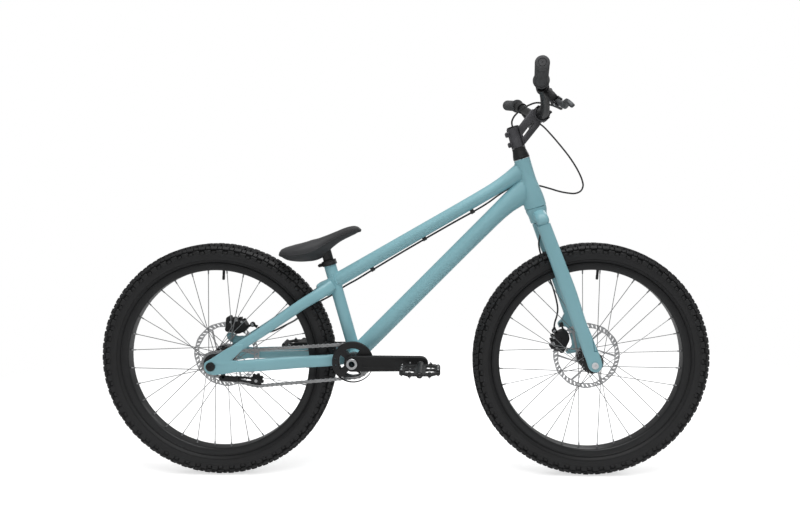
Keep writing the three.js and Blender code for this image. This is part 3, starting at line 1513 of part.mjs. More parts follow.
// Cranks: a long flat arm with an eye at each end
function crankOutline(way) {
  const outline = [];
  const reach = way * crankLength;
  const spread = Math.asin((crankBossRadius - crankEyeRadius) / crankLength);
  const start = Math.PI / 2 - way * spread;
  for (let i = 0; i <= 8; i += 1) {
    const angle = start + way * Math.PI * i / 8 * (1 + 2 * spread / Math.PI);
    outline.push([crankBossRadius * Math.cos(angle), crankBossRadius * Math.sin(angle)]);
  }
  for (let i = 0; i <= 6; i += 1) {
    const angle = -start + way * Math.PI * i / 6 * (1 - 2 * spread / Math.PI);
    outline.push([reach + crankEyeRadius * Math.cos(angle), crankEyeRadius * Math.sin(angle)]);
  }
  return outline;
}

function crank(way, eye) {
  return plate(crankOutline(way), crankThickness, -crankPlane, [
    roundHole(0, 0, eye), roundHole(way * crankLength, 0, pedalThreadRadius + seatGap),
  ]);
}

const crankInside = crankPlane - crankThickness / 2;
const ringInside = -chainPlane - toothThickness / 2;
const crankHub = collar(
  spindleRadius + seatGap, crankHubRadius, -crankInside - seatGap, -ringInside + toothThickness, turnSteps,
);
const leftCrankHub = collar(
  spindleBore, crankHubRadius, crankInside - pedalRail, crankInside + seatGap, turnSteps,
);
const crankRight = atBracket(join(crank(1, spindleRadius + seatGap), crankHub));
const crankLeft = atBracket(join(mirrored(crank(-1, spindleBore)), leftCrankHub));
const spindleHalf = crankPlane + crankThickness / 2 + seatGap;
const spindle = atBracket(turned([
  [spindleCapRadius, -spindleHalf - spindleCapHeight], [spindleCapRadius, -spindleHalf],
  [spindleRadius, -spindleHalf], [spindleRadius, spindleHalf], [spindleCapRadius, spindleHalf],
  [spindleCapRadius, spindleHalf + spindleCapHeight], [spindleBore, spindleHalf + spindleCapHeight],
  [spindleBore, -spindleHalf - spindleCapHeight], [spindleCapRadius, -spindleHalf - spindleCapHeight],
], turnSteps));

// Pedals: a flat cage with four windows on a barrel
function pedal(centre) {
  const halfLength = pedalLength / 2;
  const corner = pedalLength * pedalCornerShare;
  const low = -pedalInner - pedalWidth;
  const high = -pedalInner;
  const shape = outlineOf([
    [-halfLength + corner, low], [halfLength - corner, low], [halfLength, low + corner],
    [halfLength, high - corner], [halfLength - corner * 0.6, high], [-halfLength + corner * 0.6, high],
    [-halfLength, high - corner], [-halfLength, low + corner],
  ]);
  const openings = [];
  for (const way of [-1, 1]) {
    for (const [from, to] of [
      [low + pedalRail, (low + high) / 2 - pedalRail / 4],
      [(low + high) / 2 + pedalRail / 4, high - pedalRail],
    ]) {
      const near = way * (pedalBarrelRadius + pedalRail / 4);
      const far = way * (halfLength - pedalRail);
      openings.push(block(
        V(Math.min(near, far), from, -pedalThickness), V(Math.max(near, far), to, pedalThickness),
      ));
    }
  }
  const geometry = new THREE.ExtrudeGeometry(shape, { depth: pedalThickness, bevelEnabled: false });
  geometry.translate(0, 0, -pedalThickness / 2);
  const barrel = rod(V(0, low, 0), V(0, high, 0), pedalBarrelRadius, turnSteps);
  const bore = rod(V(0, low - overrun, 0), V(0, high + overrun, 0), pedalAxleRadius + runningGap, turnSteps);
  return cut(join(solid(geometry), barrel), bore, ...openings).translate([centre.x, 0, centre.z]);
}

function pedalAxle(centre) {
  const crankFace = crankPlane + crankThickness / 2 + seatGap;
  return turned([
    [0, -pedalInner - pedalWidth + pedalRail / 4],
    [pedalAxleRadius, -pedalInner - pedalWidth + pedalRail / 4],
    [pedalAxleRadius, -pedalInner + runningGap], [pedalCollarRadius, -pedalInner + runningGap],
    [pedalCollarRadius, -crankFace], [pedalThreadRadius, -crankFace], [pedalThreadRadius, -crankInside],
    [0, -crankInside],
  ], turnSteps).translate([centre.x, 0, centre.z]);
}

const rightPedalCentre = V(bracket.x + crankLength, 0, bracket.z);
const leftPedalCentre = V(bracket.x - crankLength, 0, bracket.z);

// Assembly

function wheelGroup(prefix, centre, width, leftFlange, rightFlange, rotorPlane, barrelEnd) {
  const group = new THREE.Group();
  group.position.copy(centre);
  group.add(
    mesh(`${prefix}_tyre`, rubber, tyre()),
    mesh(`${prefix}_rim`, blackAnodised, rim()),
    mesh(`${prefix}_hub`, blackAnodised, join(
      hub(width, leftFlange, rightFlange, rotorPlane, barrelEnd), spokes(leftFlange, rightFlange),
    )),
    mesh(`${prefix}_rotor`, steel, rotor(rotorPlane)),
  );
  return group;
}

const frontBarrelEnd = frontFlangeRight + 2 * flangeThickness;
const rearBarrelEnd = -chainPlane + 2 * toothThickness;

const frame = new THREE.Group();
frame.add(
  mesh('head_tube', teal, headTube),
  mesh('top_tube', teal, topTube),
  mesh('down_tube', teal, downTube),
  mesh('seat_tube', teal, seatTube),
  mesh('bb_shell', teal, bracketShell),
  mesh('chainstay_right', teal, rightChainstay),
  mesh('chainstay_left', teal, leftChainstay),
  mesh('seatstay_right', teal, rightSeatstay),
  mesh('seatstay_left', teal, leftSeatstay),
  mesh('headset_bearing_lower', darkSteel, lowerBearing),
  mesh('headset_bearing_upper', darkSteel, upperBearing),
  mesh('seat_collar', blackAnodised, seatCollar),
  mesh('seatpost', blackAnodised, seatpost),
  mesh('saddle', blackPaint, saddle),
  mesh('rear_caliper', blackAnodised, rearCaliper),
  mesh('rear_pad_left', padStone, pad(rearCaliperMiddle, rearRotorPlane, 1)),
  mesh('rear_pad_right', padStone, pad(rearCaliperMiddle, rearRotorPlane, -1)),
  mesh('tensioner_body', blackAnodised, tensionerBody),
  mesh('tensioner_arm', blackAnodised, tensionerArm),
  mesh('rear_hose_frame', blackPaint, rearHoseOnFrame),
  mesh('rear_hose_loop', blackPaint, hose([leftPort.toArray(), ...rearLoopRoute])),
  mesh('front_hose', blackPaint, hose([rightPort.toArray(), ...frontHoseRoute])),
);

const rearAxle = mesh(
  'rear_axle', blackAnodised, axle(rearHubWidth / 2 + dropoutThickness + 2 * seatGap, rearHeadRadius),
);
rearAxle.position.copy(rearHub);
const rearSprocket = mesh('rear_sprocket', steel, sprocket);
rearSprocket.position.copy(rearHub);
const tensionerPulley = mesh('tensioner_pulley', blackAnodised, pulley);
tensionerPulley.position.copy(pulleyCentre);

const drive = new THREE.Group();
drive.add(
  mesh('crank_right', blackAnodised, crankRight),
  mesh('crank_left', blackAnodised, join(crankLeft, spindle)),
  mesh('chainring', steel, chainring),
  mesh('bash_guard', blackAnodised, bashGuard),
  mesh('chain', steel, chain),
  mesh('pedal_axle_right', steel, pedalAxle(rightPedalCentre)),
  mesh('pedal_axle_left', steel, mirrored(pedalAxle(leftPedalCentre))),
  mesh('pedal_right', blackAnodised, pedal(rightPedalCentre)),
  mesh('pedal_left', blackAnodised, mirrored(pedal(leftPedalCentre))),
  tensionerPulley,
  rearSprocket,
  rearAxle,
);

const steering = new THREE.Group();
steering.position.copy(crownSeat);
steering.rotation.y = steerTilt;
const frontAxle = mesh(
  'front_axle', steel, axle(frontHubWidth / 2 + legEndThickness + 2 * seatGap, axleHeadRadius),
);
frontAxle.position.set(forkOffset, 0, -forkLength);
steering.add(
  mesh('fork_crown', teal, forkCrown),
  mesh('fork_leg_right', teal, rightLeg),
  mesh('fork_leg_left', teal, leftLeg),
  mesh('headset_cover', blackAnodised, headsetCover),
  mesh('top_cap', blackAnodised, topCap),
  mesh('stem', blackAnodised, stemBolted),
  mesh('stem_faceplate', blackAnodised, faceplateBolted),
  mesh('front_caliper', blackAnodised, frontCaliper),
  mesh('front_pad_left', padStone, pad(frontCaliperMiddle, frontRotorPlane, 1)),
  mesh('front_pad_right', padStone, pad(frontCaliperMiddle, frontRotorPlane, -1)),
  frontAxle,
);

const bar = new THREE.Group();
bar.position.copy(barCentre);
bar.rotation.y = -steerTilt;
bar.add(
  mesh('handlebar', blackPaint, handlebar),
  mesh('grip_right', rubber, rightGrip),
  mesh('grip_left', rubber, mirrored(rightGrip)),
  mesh('lever_clamp_right', blackAnodised, onLever(leverClamp)),
  mesh('lever_clamp_left', blackAnodised, mirrored(onLever(leverClamp))),
  mesh('lever_blade_right', darkSteel, onLever(leverBlade)),
  mesh('lever_blade_left', darkSteel, mirrored(onLever(leverBlade))),
);
steering.add(bar);

const bike = new THREE.Group();
bike.add(
  frame,
  drive,
  steering,
  wheelGroup(
    'front', frontHub, frontHubWidth, frontFlangeLeft, frontFlangeRight, frontRotorPlane, frontBarrelEnd,
  ),
  wheelGroup(
    'rear', rearHub, rearHubWidth, rearFlangeLeft, rearFlangeRight, rearRotorPlane, rearBarrelEnd,
  ),
);

export default bike;
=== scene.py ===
"""The looks of a street trials bike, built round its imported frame. Metres, +X forward, +Z up."""
import math

import bmesh
import bpy
from mathutils import Matrix, Vector
from mathutils.bvhtree import BVHTree


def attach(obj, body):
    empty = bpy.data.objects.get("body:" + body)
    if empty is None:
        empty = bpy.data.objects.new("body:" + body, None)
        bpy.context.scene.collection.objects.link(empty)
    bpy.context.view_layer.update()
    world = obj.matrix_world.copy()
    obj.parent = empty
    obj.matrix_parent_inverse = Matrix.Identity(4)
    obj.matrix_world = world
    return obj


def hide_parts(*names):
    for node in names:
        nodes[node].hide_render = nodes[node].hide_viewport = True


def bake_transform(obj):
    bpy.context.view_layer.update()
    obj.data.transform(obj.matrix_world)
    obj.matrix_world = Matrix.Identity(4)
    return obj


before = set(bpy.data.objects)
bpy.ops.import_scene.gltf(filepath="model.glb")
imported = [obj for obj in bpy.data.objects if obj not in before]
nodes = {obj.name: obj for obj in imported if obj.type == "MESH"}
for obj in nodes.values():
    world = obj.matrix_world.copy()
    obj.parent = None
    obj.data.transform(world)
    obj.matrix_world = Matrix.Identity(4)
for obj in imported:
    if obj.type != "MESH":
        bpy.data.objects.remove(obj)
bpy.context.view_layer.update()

# The camera stands where the photographer's did: level with the top tube, a little over a bike's length
# to the right of the bike. The small shift keeps the framing of the photograph.
eye = Vector((0.10096, -1.75811, 0.76709))
turn, tilt, roll = math.radians(-0.9615), math.radians(5.3227), math.radians(-0.174)
ahead = Vector((math.sin(turn) * math.cos(tilt), math.cos(turn) * math.cos(tilt), -math.sin(tilt)))
level = Vector((math.cos(turn), -math.sin(turn), 0))
upward = level.cross(ahead)
across = level * math.cos(roll) + upward * math.sin(roll)
upward = upward * math.cos(roll) - level * math.sin(roll)
bpy.ops.object.camera_add()
camera = bpy.context.object
camera.matrix_world = Matrix.Translation(eye) @ Matrix((across, upward, -ahead)).transposed().to_4x4()
picture_width, picture_height, film_width = 800, 530, 36
focal_pixels, middle_x, middle_y = 674.83, 430.74, 249.28
camera.data.sensor_width = film_width
camera.data.lens = focal_pixels / picture_width * film_width
camera.data.shift_x = (picture_width / 2 - middle_x) / picture_width
camera.data.shift_y = (middle_y - picture_height / 2) / picture_width
camera.data.clip_end = 60
bpy.context.scene.camera = camera
bpy.context.scene.view_settings.view_transform = "Standard"

# The studio: a white sweep that the camera sees as plain white, with the tyres' soft shadow on it,
# one broad lamp above, one in front and a weak one behind.
world = bpy.data.worlds.new("studio")
bpy.context.scene.world = world
world.use_nodes = True
tree = world.node_tree
tree.nodes.clear()
paths = tree.nodes.new("ShaderNodeLightPath")
seen = tree.nodes.new("ShaderNodeMath")
seen.operation = "MAXIMUM"
tree.links.new(paths.outputs["Is Camera Ray"], seen.inputs[0])
tree.links.new(paths.outputs["Is Transmission Ray"], seen.inputs[1])
room = tree.nodes.new("ShaderNodeBackground")
room.inputs["Color"].default_value = (1, 1, 1, 1)
room.inputs["Strength"].default_value = 0.35
backdrop = tree.nodes.new("ShaderNodeBackground")
backdrop.inputs["Color"].default_value = (1, 1, 1, 1)
backdrop.inputs["Strength"].default_value = 1.0
choice = tree.nodes.new("ShaderNodeMixShader")
tree.links.new(seen.outputs[0], choice.inputs[0])
tree.links.new(room.outputs[0], choice.inputs[1])
tree.links.new(backdrop.outputs[0], choice.inputs[2])
sky = tree.nodes.new("ShaderNodeOutputWorld")
tree.links.new(choice.outputs[0], sky.inputs["Surface"])

for name, place, aim, size, power in [
    ("lamp_above", (0.2, -0.9, 3.2), (0, 0, 0.4), 2.6, 58),
    ("lamp_front", (-1.2, -3.6, 2.0), (0, 0, 0.5), 2.4, 7),
    ("lamp_back", (1.6, 2.4, 2.2), (0, 0, 0.5), 1.8, 20),
]:
    bpy.ops.object.light_add(type="AREA", location=place)
    lamp = bpy.context.object
    lamp.name = name
    lamp.data.shape = "DISK"
    lamp.data.size = size
    lamp.data.energy = power
    lamp.rotation_euler = (Vector(aim) - Vector(place)).to_track_quat("-Z", "Y").to_euler()

floor_drop, paper_glow, fade_start, fade_end = 0.0006, 0.6, 1.1, 1.9
bpy.ops.mesh.primitive_plane_add(size=30, location=(0, 0, -floor_drop))
floor = bpy.context.object
floor.name = "floor"
paper = bpy.data.materials.new("paper")
paper.use_nodes = True
tree = paper.node_tree
tree.nodes["Principled BSDF"].inputs["Base Color"].default_value = (0.9, 0.9, 0.9, 1)
tree.nodes["Principled BSDF"].inputs["Roughness"].default_value = 0.9
paths = tree.nodes.new("ShaderNodeLightPath")
glow = tree.nodes.new("ShaderNodeMath")
glow.operation = "MULTIPLY"
glow.inputs[1].default_value = paper_glow
tree.links.new(paths.outputs["Is Camera Ray"], glow.inputs[0])
tree.links.new(glow.outputs[0], tree.nodes["Principled BSDF"].inputs["Emission Strength"])
tree.nodes["Principled BSDF"].inputs["Emission Color"].default_value = (1, 1, 1, 1)
spot = tree.nodes.new("ShaderNodeTexCoord")
reach = tree.nodes.new("ShaderNodeVectorMath")
reach.operation = "LENGTH"
tree.links.new(spot.outputs["Object"], reach.inputs[0])
fade = tree.nodes.new("ShaderNodeMapRange")
fade.inputs["From Min"].default_value = fade_start
fade.inputs["From Max"].default_value = fade_end
tree.links.new(reach.outputs["Value"], fade.inputs["Value"])
clear = tree.nodes.new("ShaderNodeBsdfTransparent")
blend = tree.nodes.new("ShaderNodeMixShader")
tree.links.new(fade.outputs["Result"], blend.inputs[0])
tree.links.new(tree.nodes["Principled BSDF"].outputs[0], blend.inputs[1])
tree.links.new(clear.outputs[0], blend.inputs[2])
tree.links.new(blend.outputs[0], tree.nodes["Material Output"].inputs["Surface"])
floor.data.materials.append(paper)


# The frame's main tubes: butted aluminium tubes, welded together and painted satin blue-green.
# The head tube is turned, with a wide lower end for the big bearing.
def finish_of(name, colour, roughness, metallic=0.0, grain=900, bump=0.05, mottle=0.12, coat=0.0, sheen=0.0):
    """A material with fine relief and broad mottling, laid out in its object's own coordinates."""
    material = bpy.data.materials.new(name)
    material.use_nodes = True
    tree = material.node_tree
    shader = tree.nodes["Principled BSDF"]
    shader.inputs["Metallic"].default_value = metallic
    shader.inputs["Coat Weight"].default_value = coat
    shader.inputs["Coat Roughness"].default_value = 0.25
    shader.inputs["Sheen Weight"].default_value = sheen
    place = tree.nodes.new("ShaderNodeTexCoord")
    fine = tree.nodes.new("ShaderNodeTexNoise")
    fine.inputs["Scale"].default_value = grain
    fine.inputs["Detail"].default_value = 3
    broad = tree.nodes.new("ShaderNodeTexNoise")
    broad.inputs["Scale"].default_value = grain / 60
    broad.inputs["Detail"].default_value = 2
    for noise in (fine, broad):
        tree.links.new(place.outputs["Object"], noise.inputs["Vector"])
    shade = tree.nodes.new("ShaderNodeValToRGB")
    shade.color_ramp.elements[0].position = 0.3
    shade.color_ramp.elements[1].position = 0.7
    shade.color_ramp.elements[0].color = (*[c * (1 - mottle) for c in colour], 1)
    shade.color_ramp.elements[1].color = (*[min(1, c * (1 + mottle)) for c in colour], 1)
    tree.links.new(broad.outputs["Fac"], shade.inputs["Fac"])
    tree.links.new(shade.outputs["Color"], shader.inputs["Base Color"])
    rub = tree.nodes.new("ShaderNodeMapRange")
    rub.inputs["To Min"].default_value = max(0.02, roughness - 0.07)
    rub.inputs["To Max"].default_value = min(1, roughness + 0.07)
    tree.links.new(broad.outputs["Fac"], rub.inputs["Value"])
    tree.links.new(rub.outputs["Result"], shader.inputs["Roughness"])
    relief = tree.nodes.new("ShaderNodeBump")
    relief.inputs["Strength"].default_value = bump
    relief.inputs["Distance"].default_value = 0.0004
    tree.links.new(fine.outputs["Fac"], relief.inputs["Height"])
    tree.links.new(relief.outputs["Normal"], shader.inputs["Normal"])
    return material


def clear_selection():
    bpy.ops.object.select_all(action="DESELECT")


def settle(piece, name, material, body, slot, *stands_for):
    """Names a finished piece, gives it its finish, and fixes it to its body. The slot it is handed is not
    used.
    """
    clear_selection()
    bpy.context.view_layer.objects.active = piece
    piece.select_set(True)
    bpy.ops.object.transform_apply(location=True, rotation=True, scale=True)
    bpy.ops.object.shade_smooth_by_angle(angle=math.radians(38))
    piece.select_set(False)
    piece.name = name
    piece.data.name = name
    piece.data.materials.clear()
    piece.data.materials.append(material)
    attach(piece, body)
    if stands_for:
        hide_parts(*stands_for)
    return piece


def oval(centre, run, half_width, half_depth, square=1.0, count=36, side=Vector((0, 1, 0))):
    """A ring of points square to a tube's run, its width towards the side given."""
    run = Vector(run).normalized()
    wide = (side - run * side.dot(run)).normalized()
    deep = run.cross(wide)
    ring = []
    for step in range(count):
        angle = 2 * math.pi * step / count
        c, s = math.cos(angle), math.sin(angle)
        ring.append(
            Vector(centre)
            + wide * (math.copysign(abs(c) ** square, c) * half_width)
            + deep * (math.copysign(abs(s) ** square, s) * half_depth)
        )
    return ring


def drawn(rings):
    """A closed tube made from one ring of edges, extruded from ring to ring, with both ends filled."""
    clear_selection()
    bpy.ops.mesh.primitive_circle_add(vertices=len(rings[0]), enter_editmode=True)
    piece = bpy.context.object
    shape = bmesh.from_edit_mesh(piece.data)
    shape.verts.ensure_lookup_table()
    for vertex, point in zip(shape.verts, rings[0]):
        vertex.co = point
    bmesh.update_edit_mesh(piece.data)
    for before, after in zip(rings, rings[1:]):
        bpy.ops.mesh.extrude_edges_move()
        shape = bmesh.from_edit_mesh(piece.data)
        for vertex in shape.verts:
            if vertex.select:
                near = min(range(len(before)), key=lambda step: (vertex.co - before[step]).length_squared)
                vertex.co = after[near]
        bmesh.update_edit_mesh(piece.data)
    bpy.ops.mesh.select_all(action="DESELECT")
    bpy.ops.mesh.select_non_manifold(extend=False, use_wire=False, use_multi_face=False,
                                     use_non_contiguous=False, use_verts=False)
    bpy.ops.mesh.edge_face_add()
    bpy.ops.mesh.select_all(action="SELECT")
    bpy.ops.mesh.normals_make_consistent(inside=False)
    bpy.ops.object.mode_set(mode="OBJECT")
    return piece


def eased(table, share):
    """A value at a share of a table's length, on a smooth curve through its [share, values...] rows."""
    last = len(table) - 2
    i = 0
    while i < last and share > table[i + 1][0]:
        i += 1
    low, high = table[i], table[i + 1]
    before, after = table[max(i - 1, 0)], table[min(i + 2, last + 1)]
    t = (share - low[0]) / (high[0] - low[0])
    values = []
    for column in range(1, len(low)):
        a, b = low[column], high[column]
        span = high[0] - low[0]
        out = (b - before[column]) / max(high[0] - before[0], 1e-6) * span
        into = (after[column] - a) / max(after[0] - low[0], 1e-6) * span
        h = t * t * (3 - 2 * t)
        values.append(a + (b - a) * h + out * (t - 2 * t * t + t ** 3) + into * (t ** 3 - t * t))
    return values


def straight_tube(start, end, table, steps=16, square=1.0):
    """Rings along a straight tube. The table's rows are [share, half width, half depth, lift]."""
    run = Vector(end) - Vector(start)
    rise = Vector((0, -1, 0)).cross(run).normalized()
    rings = []
    for step in range(steps + 1):
        share = step / steps
        wide, deep, lift = eased(table, share)
        rings.append(oval(Vector(start) + run * share + rise * lift, run, wide, deep, square))
    return rings


def turned(pairs, centre, axis, steps=48):
    """A piece turned on a lathe: [along, radius] pairs, swept round the axis from a centre on it."""
    clear_selection()
    way = Vector(axis).normalized()
    out = way.orthogonal().normalized()
    bpy.ops.mesh.primitive_circle_add(vertices=len(pairs), enter_editmode=True)
    piece = bpy.context.object
    shape = bmesh.from_edit_mesh(piece.data)
    shape.verts.ensure_lookup_table()
    for vertex, (along, radius) in zip(shape.verts, pairs):
        vertex.co = Vector(centre) + way * along + out * radius
    on_axis = [
        edge for edge in shape.edges
        if all((vertex.co - Vector(centre)).cross(way).length < 1e-7 for vertex in edge.verts)
    ]
    bmesh.ops.delete(shape, geom=on_axis, context="EDGES")
    bmesh.update_edit_mesh(piece.data)
    bpy.ops.mesh.select_all(action="SELECT")
    bpy.ops.mesh.spin(steps=steps, angle=2 * math.pi, center=centre, axis=way)
    bpy.ops.mesh.select_all(action="SELECT")
    bpy.ops.mesh.remove_doubles(threshold=1e-6)
    bpy.ops.mesh.normals_make_consistent(inside=False)
    bpy.ops.object.mode_set(mode="OBJECT")
    return piece


crown_seat = Vector((0.343809, 0, 0.712734))
steer_up = Vector((-0.285688, 0, 0.958323))
steer_fore = Vector((0.958323, 0, 0.285688))
bracket = Vector((-0.1285, 0, 0.3185))
seat_up = Vector((-0.258819, 0, 0.965926))


def on_steering(height, forward=0.0, left=0.0):
    """A place given along the steering axis from the crown's seat, forward of it and to its left."""
    return crown_seat + steer_up * height + steer_fore * forward + Vector((0, left, 0))


teal = finish_of("teal_paint", (0.275, 0.538, 0.600), 0.36, grain=700, bump=0.012, mottle=0.03, coat=0.25)
head_tube = turned([
    (0.0008, 0), (0.0002, 0.0245), (0.0002, 0.0272), (0.001, 0.028), (0.0185, 0.0279), (0.028, 0.0272),
    (0.040, 0.0258), (0.052, 0.0239), (0.064, 0.0222), (0.076, 0.0212), (0.09, 0.0208), (0.1284, 0.0208),
    (0.1291, 0.0201), (0.1291, 0.018), (0.1285, 0),
], crown_seat, steer_up, 64)
settle(head_tube, "head_tube_skin", teal, "frame", "frame_paint", "head_tube")

seat_junction = bracket + seat_up * 0.207
seat_top = bracket + seat_up * 0.261
top_tube_end, down_tube_end = on_steering(0.0965), on_steering(0.0679)
top_tube_rows = [
    [0, 0.0152, 0.0187, 0], [0.45, 0.0165, 0.0172, 0], [0.8, 0.0167, 0.0167, 0.0001],
    [0.9, 0.0168, 0.0185, 0.002], [1, 0.0168, 0.0238, 0.0072],
]
top_rings = straight_tube(seat_junction, top_tube_end, top_tube_rows, 24)
settle(drawn(top_rings), "top_tube_skin", teal, "frame", "frame_paint", "top_tube")
down_rise = Vector((0, -1, 0)).cross(down_tube_end - bracket).normalized()
down_tube_rows = [
    [0, 0.0215, 0.0224, 0], [0.8, 0.0215, 0.0225, -0.0002], [0.9, 0.0212, 0.0262, -0.0035],
    [1, 0.0198, 0.0385, -0.0161],
]
down_rings = straight_tube(bracket + down_rise * 0.0034, down_tube_end, down_tube_rows, 24)
settle(drawn(down_rings), "down_tube_skin", teal, "frame", "frame_paint", "down_tube")
seat_rows = [[0, 0.0159, 0.0159, 0], [1, 0.0159, 0.0159, 0]]
seat_rings = straight_tube(bracket, seat_top, seat_rows, 2)
seat_tube = drawn(seat_rings)
shell = turned([
    (-0.0365, 0), (-0.0365, 0.0202), (-0.0358, 0.021), (0.0358, 0.021), (0.0365, 0.0202), (0.0365, 0),
], bracket, (0, 1, 0))
settle(shell, "bracket_shell", teal, "frame", "frame_paint", "bb_shell")


# Weld beads run round each joint of the frame: small overlapping ripples of weld metal, painted over.
# Each bead follows the line where one tube meets the next, found by sighting along the tube's surface.
def wire(points, radius, closed=False, radii=None, roundness=2):
    """A round wire through the points, as a mesh."""
    clear_selection()
    line = bpy.data.curves.new("wire", "CURVE")
    line.dimensions = "3D"
    line.bevel_depth = radius
    line.bevel_resolution = roundness
    line.use_fill_caps = True
    spline = line.splines.new("POLY")
    spline.points.add(len(points) - 1)
    for i, point in enumerate(points):
        spline.points[i].co = (*point, 1)
        spline.points[i].radius = radii[i] if radii else 1
    spline.use_cyclic_u = closed
    piece = bpy.data.objects.new("wire", line)
    bpy.context.collection.objects.link(piece)
    bpy.context.view_layer.objects.active = piece
    piece.select_set(True)
    bpy.ops.object.convert(target="MESH")
    piece = bpy.context.object
    bpy.ops.object.mode_set(mode="EDIT")
    bpy.ops.mesh.select_all(action="SELECT")
    bpy.ops.mesh.remove_doubles(threshold=1e-6)
    bpy.ops.mesh.normals_make_consistent(inside=False)
    bpy.ops.object.mode_set(mode="OBJECT")
    return piece


def joined(pieces):
    """Several pieces as one, under the first one's name."""
    clear_selection()
    for piece in pieces:
        piece.select_set(True)
    bpy.context.view_layer.objects.active = pieces[0]
    bpy.ops.object.join()
    return bpy.context.object


def weld(rings, target, size=0.0017, from_end=False, spacing=0.0026):
    """The bead where a tube, given by its rings, runs into the target, or None where it mostly misses."""
    sight, enough = 0.05, 0.7
    mesh = target.data
    skin = BVHTree.FromPolygons(
        [target.matrix_world @ vertex.co for vertex in mesh.vertices],
        [list(face.vertices) for face in mesh.polygons],
    )
    near, far = (rings[-1], rings[-2]) if from_end else (rings[0], rings[1])
    for i in range(2, len(rings)):
        if (near[0] - far[0]).length > sight:
            break
        far = rings[-1 - i] if from_end else rings[i]
    line = []
    for start, end in zip(far, near):
        place = skin.ray_cast(start, (end - start).normalized(), (end - start).length)[0]
        if place:
            line.append(place)
    if len(line) < len(near) * enough:
        return None
    length = sum((b - a).length for a, b in zip(line, line[1:] + line[:1]))
    count = max(24, int(length / spacing) * 2)
    dense, radii = [], []
    step, walked, i = length / count, 0.0, 0
    ends = line[1:] + line[:1]
    for k in range(count):
        while walked + (ends[i] - line[i]).length < k * step and i < len(line) - 1:
            walked += (ends[i] - line[i]).length
            i += 1
        part = (k * step - walked) / max((ends[i] - line[i]).length, 1e-9)
        dense.append(line[i].lerp(ends[i], min(1, part)))
        radii.append(1.0 if k % 2 else 0.78)
    return wire(dense, size, True, radii)


seams = [
    weld(top_rings, nodes["head_tube"], from_end=True), weld(down_rings, nodes["head_tube"], from_end=True),
    weld(down_rings, nodes["bb_shell"]), weld(top_rings, nodes["seat_tube"]),
    weld(seat_rings, nodes["bb_shell"]),
]

# The rear triangle: pairs of shaped stays with plate dropouts. The left side also carries the disc
# brake's plate. A wishbone-shaped bridge ties the seatstays together behind the seat tube.
rear_hub = Vector((-0.491, 0, 0.31))
chainstay_run, chainstay_rise = 0.3625, 0.0085
seatstay_run, seatstay_rise = 0.306, 0.202
# Rows: share of the run, distance from the middle plane, share of the rise, half width and half depth
chainstay_table = [
    [0.15, 0.0715, -0.2, 0.0060, 0.0146], [0.3, 0.0679, 0.1, 0.0080, 0.0155],
    [0.47, 0.0579, 0.4, 0.0089, 0.0160], [0.63, 0.0475, 0.6, 0.0085, 0.0155],
    [0.8, 0.0418, 0.8, 0.0080, 0.0150], [0.862, 0.0350, 0.86, 0.0080, 0.0147],
    [0.925, 0.0268, 0.93, 0.0078, 0.0144], [0.962, 0.0236, 0.96, 0.0077, 0.0140],
]
seatstay_table = [
    [0.07, 0.0715, 0.09, 0.0062, 0.0113], [0.425, 0.0661, 0.43, 0.0080, 0.0122],
    [0.748, 0.0501, 0.762, 0.0089, 0.0140], [0.912, 0.0340, 0.911, 0.0089, 0.0147],
    [1, 0.0179, 1, 0.0087, 0.0150],
]


def stay(table, run, rise, side, square, steps=20):
    """Rings along a stay that runs forward and up from the rear hub, as its table's rows say."""
    places = []
    for step in range(steps + 1):
        share = table[0][0] + (table[-1][0] - table[0][0]) * step / steps
        spread, height, wide, deep = eased(table, share)
        places.append((rear_hub + Vector((share * run, side * spread, rise * height)), wide, deep))
    rings = []
    for i, (place, wide, deep) in enumerate(places):
        way = places[min(i + 1, steps)][0] - places[max(i - 1, 0)][0]
        rings.append(oval(place, way, wide, deep, square, 32))
    return rings


def flat(outline, thickness, y, holes=(), edge=0.0008, roundness=2):
    """A flat plate in the XZ plane, cut to an outline with holes, its middle at y, its edges rounded."""
    clear_selection()
    sheet = bpy.data.curves.new("plate", "CURVE")
    sheet.dimensions = "2D"
    sheet.fill_mode = "BOTH"
    sheet.extrude = thickness / 2 - edge
    sheet.bevel_depth = edge
    sheet.bevel_resolution = roundness
    sheet.offset = -edge
    for points in (outline, *holes):
        spline = sheet.splines.new("POLY")
        spline.points.add(len(points) - 1)
        for i, (x, z) in enumerate(points):
            spline.points[i].co = (x, z, 0, 1)
        spline.use_cyclic_u = True
    piece = bpy.data.objects.new("plate", sheet)
    bpy.context.collection.objects.link(piece)
    bpy.context.view_layer.objects.active = piece
    piece.select_set(True)
    bpy.ops.object.convert(target="MESH")
    piece = bpy.context.object
    piece.rotation_euler = (math.pi / 2, 0, 0)
    piece.location = (0, y, 0)
    bpy.ops.object.transform_apply(location=True, rotation=True, scale=True)
    bpy.ops.object.mode_set(mode="EDIT")
    bpy.ops.mesh.select_all(action="SELECT")
    bpy.ops.mesh.remove_doubles(threshold=1e-6)
    bpy.ops.mesh.normals_make_consistent(inside=False)
    bpy.ops.object.mode_set(mode="OBJECT")
    return piece


def circle(x, z, radius, count=32):
    return [
        (x + radius * math.cos(2 * math.pi * i / count), z + radius * math.sin(2 * math.pi * i / count))
        for i in range(count)
    ]


def smoothed(outline, rounds=2):
    """An outline with its corners cut off, round after round, so that it reads as a curve."""
    for _ in range(rounds):
        cut = []
        for (x0, z0), (x1, z1) in zip(outline, outline[1:] + outline[:1]):
            cut.append((x0 * 0.75 + x1 * 0.25, z0 * 0.75 + z1 * 0.25))
            cut.append((x0 * 0.25 + x1 * 0.75, z0 * 0.25 + z1 * 0.75))
        outline = cut
    return outline


def placed(shares, centre, scale):
    """World X and Z of an outline that is given in shares of a scale, about a centre."""
    return [(centre.x + a * scale, centre.z + b * scale) for a, b in shares]


